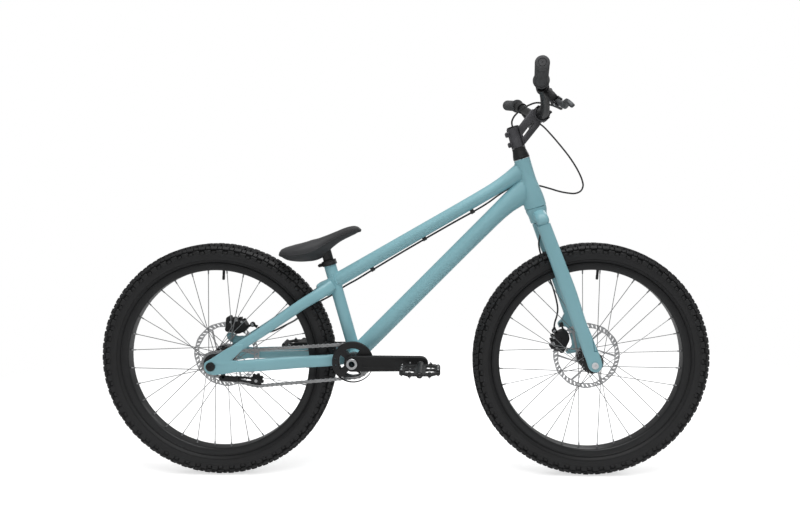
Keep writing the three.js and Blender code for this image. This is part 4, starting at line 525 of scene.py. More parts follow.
dropout_shares = [
    (-0.25, 0.1), (-0.19, 0.17), (-0.1, 0.21), (0.12, 0.345), (0.43, 0.555), (0.72, 0.72), (1.2, 0.86),
    (1.22, 0.67), (1, 0.45), (0.86, 0.32), (0.76, 0.222), (0.84, 0.206), (1, 0.2), (1, -0.2), (0.2, -0.325),
    (-0.03, -0.31), (-0.17, -0.24), (-0.25, -0.1),
]
brake_plate_shares = [
    (-0.03, 0.915), (0.26, 0.905), (0.42, 0.74), (0.74, 0.78), (0.86, 0.6), (0.3, 0.42), (0.02, 0.62),
]
bridge_shares = [
    (0, 0.60), (-0.24, 0.27), (-0.42, 0.12), (-0.72, 0), (-0.97, -0.12), (-1.02, -0.28), (-0.98, -0.5),
    (-0.9, -0.72), (-0.2, -0.85), (0.1, -0.3),
]
dropout_outline = smoothed(placed(dropout_shares, rear_hub, 0.07))
brake_plate_outline = smoothed(placed(brake_plate_shares, rear_hub, 0.064))
bridge_outline = smoothed(placed(bridge_shares, seat_junction, 0.046))
axle_hole = circle(rear_hub.x, rear_hub.z, 0.0056)
for side, name in ((-1, "right"), (1, "left")):
    lower = stay(chainstay_table, chainstay_run, chainstay_rise, side, 0.62)
    upper = stay(seatstay_table, seatstay_run, seatstay_rise, side, 0.8)
    dropout = flat(dropout_outline, 0.010, side * 0.0728, [axle_hole], 0.0016)
    settle(joined([drawn(lower), dropout]), f"chainstay_{name}_skin", teal, "frame", "frame_paint",
           f"chainstay_{name}")
    stay_pieces = [drawn(upper)]
    if side > 0:
        stay_pieces.append(flat(brake_plate_outline, 0.009, 0.0616, (), 0.001))
    settle(joined(stay_pieces), f"seatstay_{name}_skin", teal, "frame", "frame_paint", f"seatstay_{name}")
    seams += [weld(lower, nodes["bb_shell"], from_end=True), weld(upper, nodes["seat_tube"], from_end=True)]
bridge = flat(bridge_outline, 0.038, 0, (), 0.006, 4)
settle(joined([seat_tube, bridge]), "seat_tube_skin", teal, "frame", "frame_paint", "seat_tube")
settle(joined([seam for seam in seams if seam]), "frame_welds", teal, "frame", "frame_paint")

# The fork: a welded aluminium crown on a tapered steerer, with two legs that curve forward to the axle.
# Each leg ends in a round flat eye with a groove milled above it. The left one holds the brake's tabs.
fork_length, leg_rise, eye_radius = 0.428, 0.3827, 0.0187
eye_spread, crown_spread = 0.0573, 0.046
# Rows: share of the leg's rise from the axle, forward of the steering axis, half depth and half width
leg_table = [
    [-0.048, 0.0278, 0.0187, 0.0066], [0, 0.0278, 0.0187, 0.0071],
    [0.05, 0.0273, 0.0187, 0.0072], [0.1, 0.0252, 0.0186, 0.0078], [0.2, 0.0225, 0.0177, 0.0100],
    [0.29, 0.0190, 0.0174, 0.0112], [0.52, 0.0151, 0.0189, 0.0122], [0.757, 0.0083, 0.0181, 0.0130],
    [1, 0.0016, 0.0170, 0.0130],
]
groove_places = [
    (0.0383, -0.3600), (0.0338, -0.3938), (0.0500, -0.3972), (0.0500, -0.3940), (0.0366, -0.3912),
    (0.0405, -0.3600),
]
tab_places = [
    (0.012, -0.290), (-0.010, -0.315), (-0.0215, -0.3205), (-0.0235, -0.3260), (-0.0225, -0.3331),
    (-0.008, -0.3345), (0, -0.343), (0, -0.390), (-0.008, -0.3990), (-0.0225, -0.4001), (-0.0235, -0.4055),
    (-0.0215, -0.4107), (0.002, -0.4120), (0.016, -0.4200), (0.022, -0.3500),
]


def fork_outline(places):
    """World X and Z of places on the fork, given as forward of the steering axis and along it."""
    return [(on_steering(height, forward).x, on_steering(height, forward).z) for forward, height in places]


def cut_away(piece, cutter):
    """Takes the cutter's shape out of a piece, and removes the cutter."""
    clear_selection()
    bpy.context.view_layer.objects.active = piece
    piece.select_set(True)
    saw = piece.modifiers.new("cut", "BOOLEAN")
    saw.operation = "DIFFERENCE"
    saw.object = cutter
    bpy.ops.object.modifier_apply(modifier="cut")
    bpy.data.objects.remove(cutter)
    return piece


for side, name in ((-1, "right"), (1, "left")):
    rings = []
    for share in (-0.048, -0.0462, -0.0425, -0.036, -0.027, -0.014, *(step / 32 for step in range(33))):
        forward, deep, wide = eased(leg_table, share)
        if share < 0:
            deep = math.sqrt(eye_radius ** 2 - (share * leg_rise) ** 2)
        spread = eye_spread + (crown_spread - eye_spread) * max(share, 0)
        place = on_steering(-fork_length + share * leg_rise, forward, side * spread)
        rings.append(oval(place, steer_up, wide, deep, 0.75, 36))
    groove = flat(fork_outline(groove_places), 0.014, side * 0.0645, (), 0.0004, 1)
    leg_pieces = [cut_away(drawn(rings), groove)]
    if side > 0:
        leg_pieces.append(flat(smoothed(fork_outline(tab_places), 1), 0.0164, 0.0491, (), 0.0022, 3))
    settle(joined(leg_pieces), f"fork_leg_{name}_skin", teal, "steering", "frame_paint", f"fork_leg_{name}")

crown_reach, crown_steps = 1.28, 24
crown_rings = []
for step in range(crown_steps + 1):
    share = -crown_reach + 2 * crown_reach * step / crown_steps
    height = -0.045 * (0.42 + 0.3 * min(1, abs(share)) ** 2)
    drop = max(0, abs(share) - 1)
    deep = 0.0162 * math.sqrt(max(0.02, 1 - (drop / 0.29) ** 2))
    wide = 0.017 * math.sqrt(max(0.05, 1 - (drop / 0.31) ** 2))
    crown_rings.append(oval(
        on_steering(height - 0.02 * drop, 0.0017, share * crown_spread), (0, 1, 0), wide, deep, 0.85, 32,
        side=steer_fore,
    ))
arch = drawn(crown_rings)
socket = turned([
    (-0.0385, 0), (-0.0385, 0.0215), (-0.036, 0.0232), (-0.020, 0.0240), (-0.012, 0.0262), (-0.007, 0.0271),
    (-0.0012, 0.0271), (-0.0005, 0.0264), (-0.0005, 0),
], crown_seat, steer_up, 56)
settle(joined([arch, socket]), "fork_crown_skin", teal, "steering", "frame_paint", "fork_crown")

# The headset: two ball bearings in the head tube, under a turned black cone and a top cap that the
# front brake's hose passes through on its way down the hollow steerer.
black = finish_of("black_anodised", (0.015, 0.0153, 0.016), 0.42, metallic=0.25, grain=1600, mottle=0.1)
dark_steel = finish_of("dark_steel", (0.12, 0.125, 0.13), 0.38, metallic=0.85, grain=1800, mottle=0.1)
cover = turned([
    (0.1296, 0), (0.1296, 0.0208), (0.1301, 0.0213), (0.1352, 0.0213), (0.1358, 0.0207), (0.1366, 0.0206),
    (0.1372, 0.0209), (0.1380, 0.0208), (0.1500, 0.0181), (0.1528, 0.0175), (0.1588, 0.0174),
    (0.1592, 0.0170), (0.1592, 0),
], crown_seat, steer_up, 48)
settle(cover, "headset_cover_skin", black, "steering", "anodised", "headset_cover")
cap = turned([
    (0.2118, 0), (0.2118, 0.0152), (0.2124, 0.0158), (0.2142, 0.0158), (0.2152, 0.0148), (0.2158, 0.012),
    (0.2158, 0.0048), (0.2152, 0.004), (0.2132, 0.0038), (0.2132, 0),
], crown_seat, steer_up, 40)
settle(cap, "top_cap_skin", black, "steering", "anodised", "top_cap")
for name in ("headset_bearing_lower", "headset_bearing_upper"):
    nodes[name].data.materials.clear()
    nodes[name].data.materials.append(dark_steel)

# The stem: forged and machined aluminium, anodised black. Two bolts across its split rear pinch the
# steerer, and a faceplate with four bolts clamps the handlebar at the end of its raised arm.
def posed(piece, origin, along, upright_way, sideways=None):
    """Moves a piece built in the XZ plane: its X goes along, its Z upright and its Y sideways."""
    along, upright_way = Vector(along), Vector(upright_way)
    sideways = Vector(sideways) if sideways else upright_way.cross(along)
    clear_selection()
    bpy.context.view_layer.objects.active = piece
    piece.select_set(True)
    piece.matrix_world = Matrix.Translation(Vector(origin)) @ Matrix(
        (along, sideways, upright_way)).transposed().to_4x4()
    bpy.ops.object.transform_apply(location=True, rotation=True, scale=True)
    bpy.ops.object.mode_set(mode="EDIT")
    bpy.ops.mesh.select_all(action="SELECT")
    bpy.ops.mesh.normals_make_consistent(inside=False)
    bpy.ops.object.mode_set(mode="OBJECT")
    return piece


def bolt(centre, axis, radius, height, steps=20):
    """A socket-head bolt: a turned head with a sunk socket."""
    return turned([
        (-height * 0.6, 0), (-height * 0.6, radius * 0.96), (height * 0.85, radius), (height, radius * 0.88),
        (height, radius * 0.58), (height * 0.35, radius * 0.5), (height * 0.3, 0),
    ], centre, axis, steps)


clamp = turned([
    (0.1598, 0.0146), (0.1598, 0.0168), (0.1603, 0.0174), (0.2110, 0.0174), (0.2115, 0.0168),
    (0.2115, 0.0146),
], crown_seat, steer_up, 48)
stem_outline = [
    (0.0120, 0.1615), (0.0145, 0.1618), (0.0690, 0.1995), (0.0700, 0.2020), (0.0610, 0.2420),
    (0.0570, 0.2420), (0.0140, 0.2105), (0.0120, 0.2085),
]
stem_slit = [
    (0.0180, 0.1826), (0.0196, 0.1826), (0.0535, 0.2078), (0.0538, 0.2092), (0.0520, 0.2122),
    (0.0500, 0.2120), (0.0182, 0.1884),
]
stem_arm = posed(flat(stem_outline, 0.036, 0, [stem_slit], 0.003, 3), crown_seat, steer_fore, steer_up)
stem_grey = finish_of(
    "stem_grey", (0.078, 0.077, 0.084), 0.46, metallic=0.3, grain=1400, bump=0.2, mottle=0.35,
)
bar_centre = Vector((0.35504, 0, 0.95087))
slope = math.radians(26.45)
clamp_out = steer_fore * math.cos(slope) + steer_up * math.sin(slope)
clamp_up = steer_up * math.cos(slope) - steer_fore * math.sin(slope)


def arc(radius, start, turn_by, count):
    """Points of an arc about the origin: its start angle and the turn from point to point in degrees."""
    angles = [math.radians(start + turn_by * i) for i in range(count)]
    return [(radius * math.cos(angle), radius * math.sin(angle)) for angle in angles]


def half_clamp(way):
    """Half of the ring round the bar, seen from the side, with an ear above and below for the bolts."""
    outline = [
        (0.0006, 0.0215), (0.0070, 0.0215), *arc(0.0205, 70, -14, 11), (0.0070, -0.0215), (0.0006, -0.0215),
        *arc(0.0161, -86, 17.2, 11),
    ]
    return [(way * x, z) for x, z in outline]


faceplate = posed(flat(half_clamp(1), 0.0445, 0, (), 0.0014), bar_centre, clamp_out, clamp_up)
rear_half = posed(flat(half_clamp(-1), 0.0445, 0, (), 0.0014), bar_centre, clamp_out, clamp_up)
face_pieces, stem_pieces = [faceplate], [clamp, stem_arm, rear_half]
for y in (-0.0158, 0.0158):
    for height in (-0.0126, 0.0126):
        seat = bar_centre + clamp_out * 0.0168 + clamp_up * height + Vector((0, y, 0))
        face_pieces.append(bolt(seat, clamp_out, 0.0036, 0.0042))
for foot in (0.1655, 0.1925):
    boss = [(-0.0125, foot), (-0.0215, foot), (-0.0238, foot + 0.0025), (-0.0238, foot + 0.0105),
            (-0.0215, foot + 0.013), (-0.0125, foot + 0.013)]
    for y in (-0.0056, 0.0056):
        stem_pieces.append(posed(flat(boss, 0.0094, 0, (), 0.0012), crown_seat + Vector((0, y, 0)),
                                 steer_fore, steer_up))
    stem_pieces.append(bolt(on_steering(foot + 0.0065, -0.0190, -0.0096), (0, -1, 0), 0.0040, 0.0036))
settle(joined(stem_pieces), "stem_skin", stem_grey, "steering", "anodised", "stem")
settle(joined(face_pieces), "stem_faceplate_skin", black, "steering", "anodised", "stem_faceplate")

# The handlebar: one drawn aluminium tube, thick in the clamp and tapered to the grips, bent up and
# back. Its rubber grips have rings all along and a flange at the inner end.
def mirror_copy(piece):
    """A copy of a piece of the right side, mirrored to the left side."""
    clear_selection()
    other = piece.copy()
    other.data = piece.data.copy()
    bpy.context.collection.objects.link(other)
    bpy.context.view_layer.objects.active = other
    other.select_set(True)
    other.scale.y = -1
    bpy.ops.object.transform_apply(location=True, rotation=True, scale=True)
    bpy.ops.object.mode_set(mode="EDIT")
    bpy.ops.mesh.select_all(action="SELECT")
    bpy.ops.mesh.normals_make_consistent(inside=False)
    bpy.ops.object.mode_set(mode="OBJECT")
    return other


# Rows: distance from the middle, then X, Z and radius there
bar_rows = [
    [0, 0.3550, 0.9509, 0.0159], [0.0255, 0.3550, 0.9509, 0.0159], [0.0473, 0.3545, 0.9515, 0.0148],
    [0.0899, 0.3516, 0.9559, 0.01145], [0.17, 0.3381, 0.9769, 0.01113], [0.2293, 0.3214, 0.9974, 0.01113],
    [0.364, 0.3040, 1.0154, 0.01113],
]
bar_half, bar_steps, bar_glance = 0.364, 52, 0.002
bar_rings = []
for step in range(-bar_steps, bar_steps + 1):
    place = abs(step) / bar_steps * bar_half
    x, z, radius = eased(bar_rows, place)
    ahead_x, ahead_z, _ = eased(bar_rows, min(bar_half, place + bar_glance))
    behind_x, behind_z, _ = eased(bar_rows, max(0, place - bar_glance))
    side = 1 if step >= 0 else -1
    across_y = 2 * bar_glance if bar_glance < place < bar_half - bar_glance else bar_glance
    run = Vector(((ahead_x - behind_x) * side, across_y, (ahead_z - behind_z) * side))
    bar_rings.append(oval((x, place * side, z), run, radius, radius, 1, 32, side=Vector((0, 0, 1))))
settle(drawn(bar_rings), "handlebar_skin", black, "steering", "anodised", "handlebar")

grip_rubber = finish_of("grip_rubber", (0.080, 0.081, 0.084), 0.78, grain=1500, bump=0.25, mottle=0.14)
bar_end = Vector((0.304, -0.364, 1.0154))
bar_way = Vector((-0.12696, -0.98323, 0.13091)).normalized()
grip_profile = [
    (0.0014, 0), (0.0014, 0.0014), (0.0024, 0.0018), (0.0026, 0.0072), (0.0014, 0.0078), (0.0014, 0.0086),
    (0.0026, 0.0092), (0.0022, 0.0125), (0.0006, 0.0148), (-0.001, 0.0154), (-0.0065, 0.0154),
    (-0.0072, 0.0146),
]
ridge_count, ridge_pitch = 29, 0.0040
for ridge in range(ridge_count):
    at = -0.0084 - ridge * ridge_pitch
    grip_profile += [
        (at + 0.0003, 0.0142), (at - 0.0004, 0.0153), (at - 0.0020, 0.0153), (at - 0.0027, 0.0142),
    ]
grip_profile += [
    (-0.1238, 0.0145), (-0.1240, 0.0178), (-0.1248, 0.0187), (-0.1276, 0.0187), (-0.1284, 0.0178),
    (-0.1284, 0.0117), (-0.1284, 0),
]
grip = turned(grip_profile, bar_end, bar_way, 40)
settle(mirror_copy(grip), "grip_left_skin", grip_rubber, "steering", "grip_rubber", "grip_left")
settle(grip, "grip_right_skin", grip_rubber, "steering", "grip_rubber", "grip_right")

# The brake levers: a forged body clamped to the bar, its master cylinder along the bar with the hose
# at the inner end, and a short one-finger blade that swings on a steel pin.
lever_seat = Vector((0.32837, -0.20457, 0.98885))
lever_x = Vector((0.589672, -0.407127, -0.697520)).normalized()
lever_y = Vector((-0.255934, -0.913334, 0.316731)).normalized()
lever_z = lever_x.cross(lever_y).normalized()


def on_lever(x, y, z=0.0):
    """A place given in the right lever's own axes: away from the bar, along it and upright to both."""
    return lever_seat + lever_x * x + lever_y * y + lever_z * z


lever_axes = (lever_x, lever_y, lever_z)
body_outline = [
    (0.0130, -0.0100), (0.0260, -0.0118), (0.0480, -0.0140), (0.0570, -0.0115), (0.0575, -0.0015),
    (0.0510, -0.0025), (0.0470, 0.0005), (0.0455, 0.0080), (0.0340, 0.0115), (0.0130, 0.0105),
]
ear_outline = [
    (0.0420, -0.0080), (0.0570, -0.0085), (0.0592, 0.0060), (0.0565, 0.0130), (0.0510, 0.0132),
    (0.0420, 0.0090),
]
forging = posed(flat(smoothed(body_outline), 0.0185, 0, (), 0.0042, 4), lever_seat, *lever_axes)
ears = [
    posed(flat(smoothed(ear_outline), 0.0044, 0, (), 0.0011, 3), lever_seat + lever_z * z, *lever_axes)
    for z in (-0.0076, 0.0076)
]
ring = turned([
    (-0.0080, 0.01143), (-0.0080, 0.0146), (-0.0074, 0.0152), (0.0074, 0.0152), (0.0080, 0.0146),
    (0.0080, 0.01143),
], lever_seat, lever_y, 40)
master = turned([
    (-0.0248, 0), (-0.0248, 0.0066), (-0.0240, 0.0078), (-0.0170, 0.0082), (-0.0160, 0.0092),
    (-0.0020, 0.0093), (0.0030, 0.0086), (0.0040, 0.0070), (0.0040, 0),
], on_lever(0.038, 0), lever_y, 36)
hose_nut = turned([
    (0, 0), (0, 0.0046), (0.0080, 0.0046), (0.0086, 0.0040), (0.0150, 0.0037), (0.0180, 0.0029), (0.0180, 0),
], on_lever(0.0474, -0.0125), -lever_y, 12)
pin_x, pin_y, blade_length = 0.054, 0.008, 0.070
pin_cap = bolt(on_lever(pin_x, pin_y, -0.0092), -lever_z, 0.0036, 0.0022)
pin_foot = bolt(on_lever(pin_x, pin_y, 0.0092), lever_z, 0.0036, 0.0022)
clamp_bolt = bolt(on_lever(0.0172, 0.0, -0.0088), -lever_z, 0.0034, 0.0030)
lever_body = joined([forging, *ears, ring, master, hose_nut, clamp_bolt])
lever_pin = joined([pin_cap, pin_foot])
blade_shares = [
    (-0.06, 0.02), (0.04, -0.085), (0.26, 0.03), (0.47, 0.2), (0.53, 0.46), (0.56, 0.67), (0.67, 0.8),
    (0.83, 0.89), (0.87, 0.94), (0.81, 1.01), (0.57, 0.96), (0.4, 0.77), (0.36, 0.51), (0.3, 0.31),
    (0.16, 0.2), (-0.05, 0.09),
]
blade_outline = [(a * blade_length + pin_x, b * blade_length + pin_y) for a, b in blade_shares]
blade_holes = [circle(pin_x + x, pin_y + y, 0.0018, 14) for x, y in ((0.0308, 0.030), (0.0322, 0.040))]
blade = posed(flat(smoothed(blade_outline, 1), 0.0096, 0, blade_holes, 0.0024, 4), lever_seat, *lever_axes)
blade_metal = finish_of("blade_alloy", (0.085, 0.090, 0.095), 0.40, metallic=0.5, grain=1700, mottle=0.1)
steel = finish_of("bright_steel", (0.52, 0.53, 0.54), 0.3, metallic=0.9, grain=1800, mottle=0.08)
for piece, name, body_name, finish, slot_name in [
    (lever_body, "lever_clamp", "steering", black, "anodised"),
    (blade, "lever_blade", None, blade_metal, "blade_alloy"),
    (lever_pin, "lever_pin", "steering", steel, "steel"),
]:
    other = mirror_copy(piece)
    for item, side in ((piece, "right"), (other, "left")):
        replaced = () if name == "lever_pin" else (f"{name}_{side}",)
        settle(item, f"{name}_{side}_skin", finish, body_name or f"lever_{side}", slot_name, *replaced)

# The saddle: a small moulded trials saddle, a padded cover over a plastic base, thin nose turned up.
# Its post is a plain tube, held by a split collar with one bolt at the rear.
saddle_rows = [
    [0, 0, 0.3, 0.14], [0.05, 0.02, 0.68, 0.5], [0.15, 0.022, 0.94, 0.76], [0.3, 0.037, 1, 0.93],
    [0.445, 0.072, 0.8, 1], [0.58, 0.153, 0.5, 0.7], [0.706, 0.223, 0.38, 0.54], [0.838, 0.282, 0.33, 0.48],
    [0.926, 0.306, 0.28, 0.37], [0.986, 0.296, 0.15, 0.12],
]
saddle_length, saddle_end, saddle_steps, saddle_glance = 0.216, 0.986, 44, 0.01
tail_x, tail_z = -0.3238, 0.5887
saddle_rings = []
for step in range(saddle_steps + 1):
    share = saddle_end * step / saddle_steps
    lift, wide, deep = eased(saddle_rows, share)
    ahead_share, behind_share = min(saddle_end, share + saddle_glance), max(0, share - saddle_glance)
    ahead_lift = eased(saddle_rows, ahead_share)[0]
    behind_lift = eased(saddle_rows, behind_share)[0]
    run = Vector((ahead_share - behind_share, 0, ahead_lift - behind_lift))
    centre = Vector((tail_x + share * saddle_length, 0, tail_z + lift * saddle_length))
    ring = []
    for point in oval(centre, run, 0.057 * wide, 0.027 * deep, 0.72, 40):
        away = point - centre
        down = -away.dot(Vector((0, 0, 1)))
        if down > 0:
            away.y *= 1 - 0.5 * min(1, down / 0.02)
        ring.append(centre + away)
    saddle_rings.append(ring)
leather = finish_of(
    "saddle_cover", (0.034, 0.0345, 0.037), 0.62, grain=1300, bump=0.35, mottle=0.12, sheen=0.1,
)
saddle = drawn(saddle_rings)
left_edge, right_edge = [[ring[i] for ring in saddle_rings[2:-2]] for i in (0, 20)]
seam = wire([Vector((p.x, p.y * 0.995, p.z)) for p in left_edge + right_edge[::-1]], 0.0009, True)
settle(joined([saddle, seam]), "saddle_skin", leather, "seat", "saddle_cover", "saddle")
post = turned([
    (-0.095, 0), (-0.095, 0.0130), (-0.0945, 0.0135), (0.030, 0.0135), (0.032, 0.0146), (0.034, 0.0150),
    (0.036, 0.0150), (0.036, 0),
], seat_top, seat_up, 40)
settle(post, "seatpost_skin", black, "seat", "anodised", "seatpost")
collar = turned([
    (-0.0090, 0.0162), (-0.0090, 0.0190), (-0.0084, 0.0196), (-0.0014, 0.0196), (-0.0006, 0.0190),
    (0.0006, 0.0190), (0.0010, 0.0194), (0.0034, 0.0194), (0.0040, 0.0188), (0.0040, 0.0162),
], seat_top, seat_up, 56)
seat_back = Vector((-0.965926, 0, -0.258819))
collar_pieces = [collar]
for y in (-0.0045, 0.0045):
    ear = [(0.0165, -0.0074), (0.0270, -0.0074), (0.0298, -0.0050), (0.0298, -0.0012), (0.0270, 0.0012),
           (0.0165, 0.0012)]
    collar_pieces.append(posed(flat(ear, 0.0066, 0, (), 0.0012, 3), seat_top + Vector((0, y, 0)),
                               seat_back, seat_up))
collar_pieces.append(bolt(seat_top + seat_back * 0.0238 + seat_up * -0.0031 + Vector((0, -0.0076, 0)),
                          (0, -1, 0), 0.0038, 0.0036))
settle(joined(collar_pieces), "seat_collar_skin", black, "frame", "anodised", "seat_collar")

# The wheels: 24 inch tyres moulded with square knobs, on plain black rims with a valve at the top,
# each laced with 32 round steel spokes, crossed three times, to a black hub.
front_hub = Vector((0.491, 0, 0.31))
wheel_gap = front_hub - rear_hub


def ringed(piece, centre, count):
    """Copies a piece round a wheel's centre, as many times as fill the circle."""
    clear_selection()
    bpy.ops.object.empty_add(location=centre)
    guide = bpy.context.object
    guide.rotation_euler.y = 2 * math.pi / count
    clear_selection()
    bpy.context.view_layer.objects.active = piece
    piece.select_set(True)
    bpy.context.scene.cursor.location = centre
    bpy.ops.object.origin_set(type="ORIGIN_CURSOR")
    bpy.context.scene.cursor.location = (0, 0, 0)
    repeat = piece.modifiers.new("repeat", "ARRAY")
    repeat.count = count
    repeat.use_relative_offset = False
    repeat.use_object_offset = True
    repeat.offset_object = guide
    bpy.context.view_layer.update()
    bpy.ops.object.modifier_apply(modifier="repeat")
    bpy.ops.object.transform_apply(location=True, rotation=True, scale=True)
    bpy.data.objects.remove(guide)
    return piece


def moved_copy(piece, shift):
    """A copy of a piece, with its own mesh moved by a shift."""
    other = piece.copy()
    other.data = piece.data.copy()
    bpy.context.collection.objects.link(other)
    other.data.transform(Matrix.Translation(shift))
    return other


def around(radius, y, angle):
    """A point of the front wheel, at an angle from the top towards the front."""
    return front_hub + Vector((radius * math.sin(angle), y, radius * math.cos(angle)))


def knob(radius, y, angle, long, wide, high, lean=0.0):
    """A rubber block of the tread with chamfered edges, standing on the casing."""
    clear_selection()
    bpy.ops.mesh.primitive_cube_add(size=1)
    block = bpy.context.object
    soften = block.modifiers.new("soften", "BEVEL")
    block.scale = (long, wide, high)
    bpy.ops.object.transform_apply(scale=True)
    soften.width = 0.0011
    soften.segments = 1
    bpy.ops.object.modifier_apply(modifier="soften")
    turn = Matrix.Rotation(angle, 4, "Y") @ Matrix.Rotation(-lean, 4, "X")
    block.matrix_world = Matrix.Translation(around(radius, y, angle)) @ turn
    bpy.ops.object.transform_apply(location=True, rotation=True, scale=True)
    return block


casing = turned([
    (-0.0129, 0.2480), (-0.0163, 0.2480), (-0.0163, 0.2598), (-0.0185, 0.2622), (-0.0225, 0.2650),
    (-0.0256, 0.2705), (-0.0276, 0.2780), (-0.0270, 0.2848), (-0.0248, 0.2905), (-0.0210, 0.2958),
    (-0.0155, 0.3003), (-0.0085, 0.3030), (0, 0.3038), (0.0085, 0.3030), (0.0155, 0.3003), (0.0210, 0.2958),
    (0.0248, 0.2905), (0.0270, 0.2848), (0.0276, 0.2780), (0.0256, 0.2705), (0.0225, 0.2650),
    (0.0185, 0.2622), (0.0163, 0.2598), (0.0163, 0.2480), (0.0129, 0.2480), (0.0129, 0.2600), (0, 0.2640),
    (-0.0129, 0.2600),
], front_hub, (0, 1, 0), 128)
bands = []
for side in (-1, 1):
    for low, y in ((0.2668, 0.0249), (0.2905, 0.0268)):
        bands.append(turned([
            (side * (y - 0.0010), low), (side * (y + 0.0004), low + 0.0004),
            (side * (y + 0.0004), low + 0.0012), (side * (y - 0.0010), low + 0.0016),
        ], front_hub, (0, 1, 0), 128))
# Rows: radius, distance from the middle, place in the pitch, length, width, height and lean of a knob
middle_knobs = [
    (0.3066, 0, 0.0, 0.0160, 0.0120, 0.0064, 0), (0.3066, 0, 0.5, 0.0110, 0.0170, 0.0064, 0),
]
side_knobs = [
    (0.3050, 0.0136, 0.25, 0.0150, 0.0090, 0.0074, -0.30),
    (0.3050, 0.0130, 0.76, 0.0110, 0.0080, 0.0072, -0.30),
    (0.2982, 0.0216, 0.0, 0.0180, 0.0096, 0.0096, -0.80),
    (0.2982, 0.0212, 0.5, 0.0108, 0.0088, 0.0092, -0.80),
    (0.2896, 0.0254, 0.5, 0.0165, 0.0112, 0.0068, -1.22),
    (0.2876, 0.0258, 0.0, 0.0100, 0.0070, 0.0060, -1.28),
]
pitch_count = 60
pitch = 2 * math.pi / pitch_count
tread = []
for side, knobs in ((1, middle_knobs), (-1, side_knobs), (1, side_knobs)):
    for radius, y, place, long, wide, high, lean in knobs:
        tread.append(knob(radius, side * y, place * pitch, long, wide, high, side * lean))
tread = ringed(joined(tread), front_hub, pitch_count)
tyre_rubber = finish_of("tyre_rubber", (0.0105, 0.0107, 0.0116), 0.6, grain=900, bump=0.2, mottle=0.16)
tyre = joined([casing, *bands, tread])
settle(moved_copy(tyre, -wheel_gap), "rear_tyre_skin", tyre_rubber, "rear_wheel", "tyre_rubber", "rear_tyre")
settle(tyre, "front_tyre_skin", tyre_rubber, "front_wheel", "tyre_rubber", "front_tyre")

rim = turned([
    (-0.0120, 0.2400), (-0.0146, 0.2404), (-0.0180, 0.2424), (-0.0189, 0.2445), (-0.0189, 0.2560),
    (-0.0184, 0.2566), (-0.0189, 0.2572), (-0.0189, 0.2590), (-0.0184, 0.2595), (-0.0170, 0.2595),
    (-0.0166, 0.2590), (-0.0166, 0.2456), (-0.0120, 0.2424), (0.0120, 0.2424), (0.0166, 0.2456),
    (0.0166, 0.2590), (0.0170, 0.2595), (0.0184, 0.2595), (0.0189, 0.2590), (0.0189, 0.2572),
    (0.0184, 0.2566), (0.0189, 0.2560), (0.0189, 0.2445), (0.0180, 0.2424), (0.0146, 0.2404),
    (0.0120, 0.2400),
], front_hub, (0, 1, 0), 128)
valve_way = around(1, 0, math.radians(4)) - front_hub
valve = turned([
    (0, 0), (0, 0.0048), (-0.0016, 0.0048), (-0.0020, 0.0036), (-0.0150, 0.0033), (-0.0158, 0.0036),
    (-0.0240, 0.0036), (-0.0262, 0.0030), (-0.0268, 0.0015), (-0.0268, 0),
], front_hub + valve_way * 0.2403, valve_way, 20)
rim_metal = finish_of("rim_black", (0.019, 0.0195, 0.0205), 0.36, metallic=0.3, grain=1500, mottle=0.1)
rim = joined([rim, valve])
settle(moved_copy(rim, -wheel_gap), "rear_rim_skin", rim_metal, "rear_wheel", "anodised", "rear_rim")
settle(rim, "front_rim_skin", rim_metal, "front_wheel", "anodised", "front_rim")

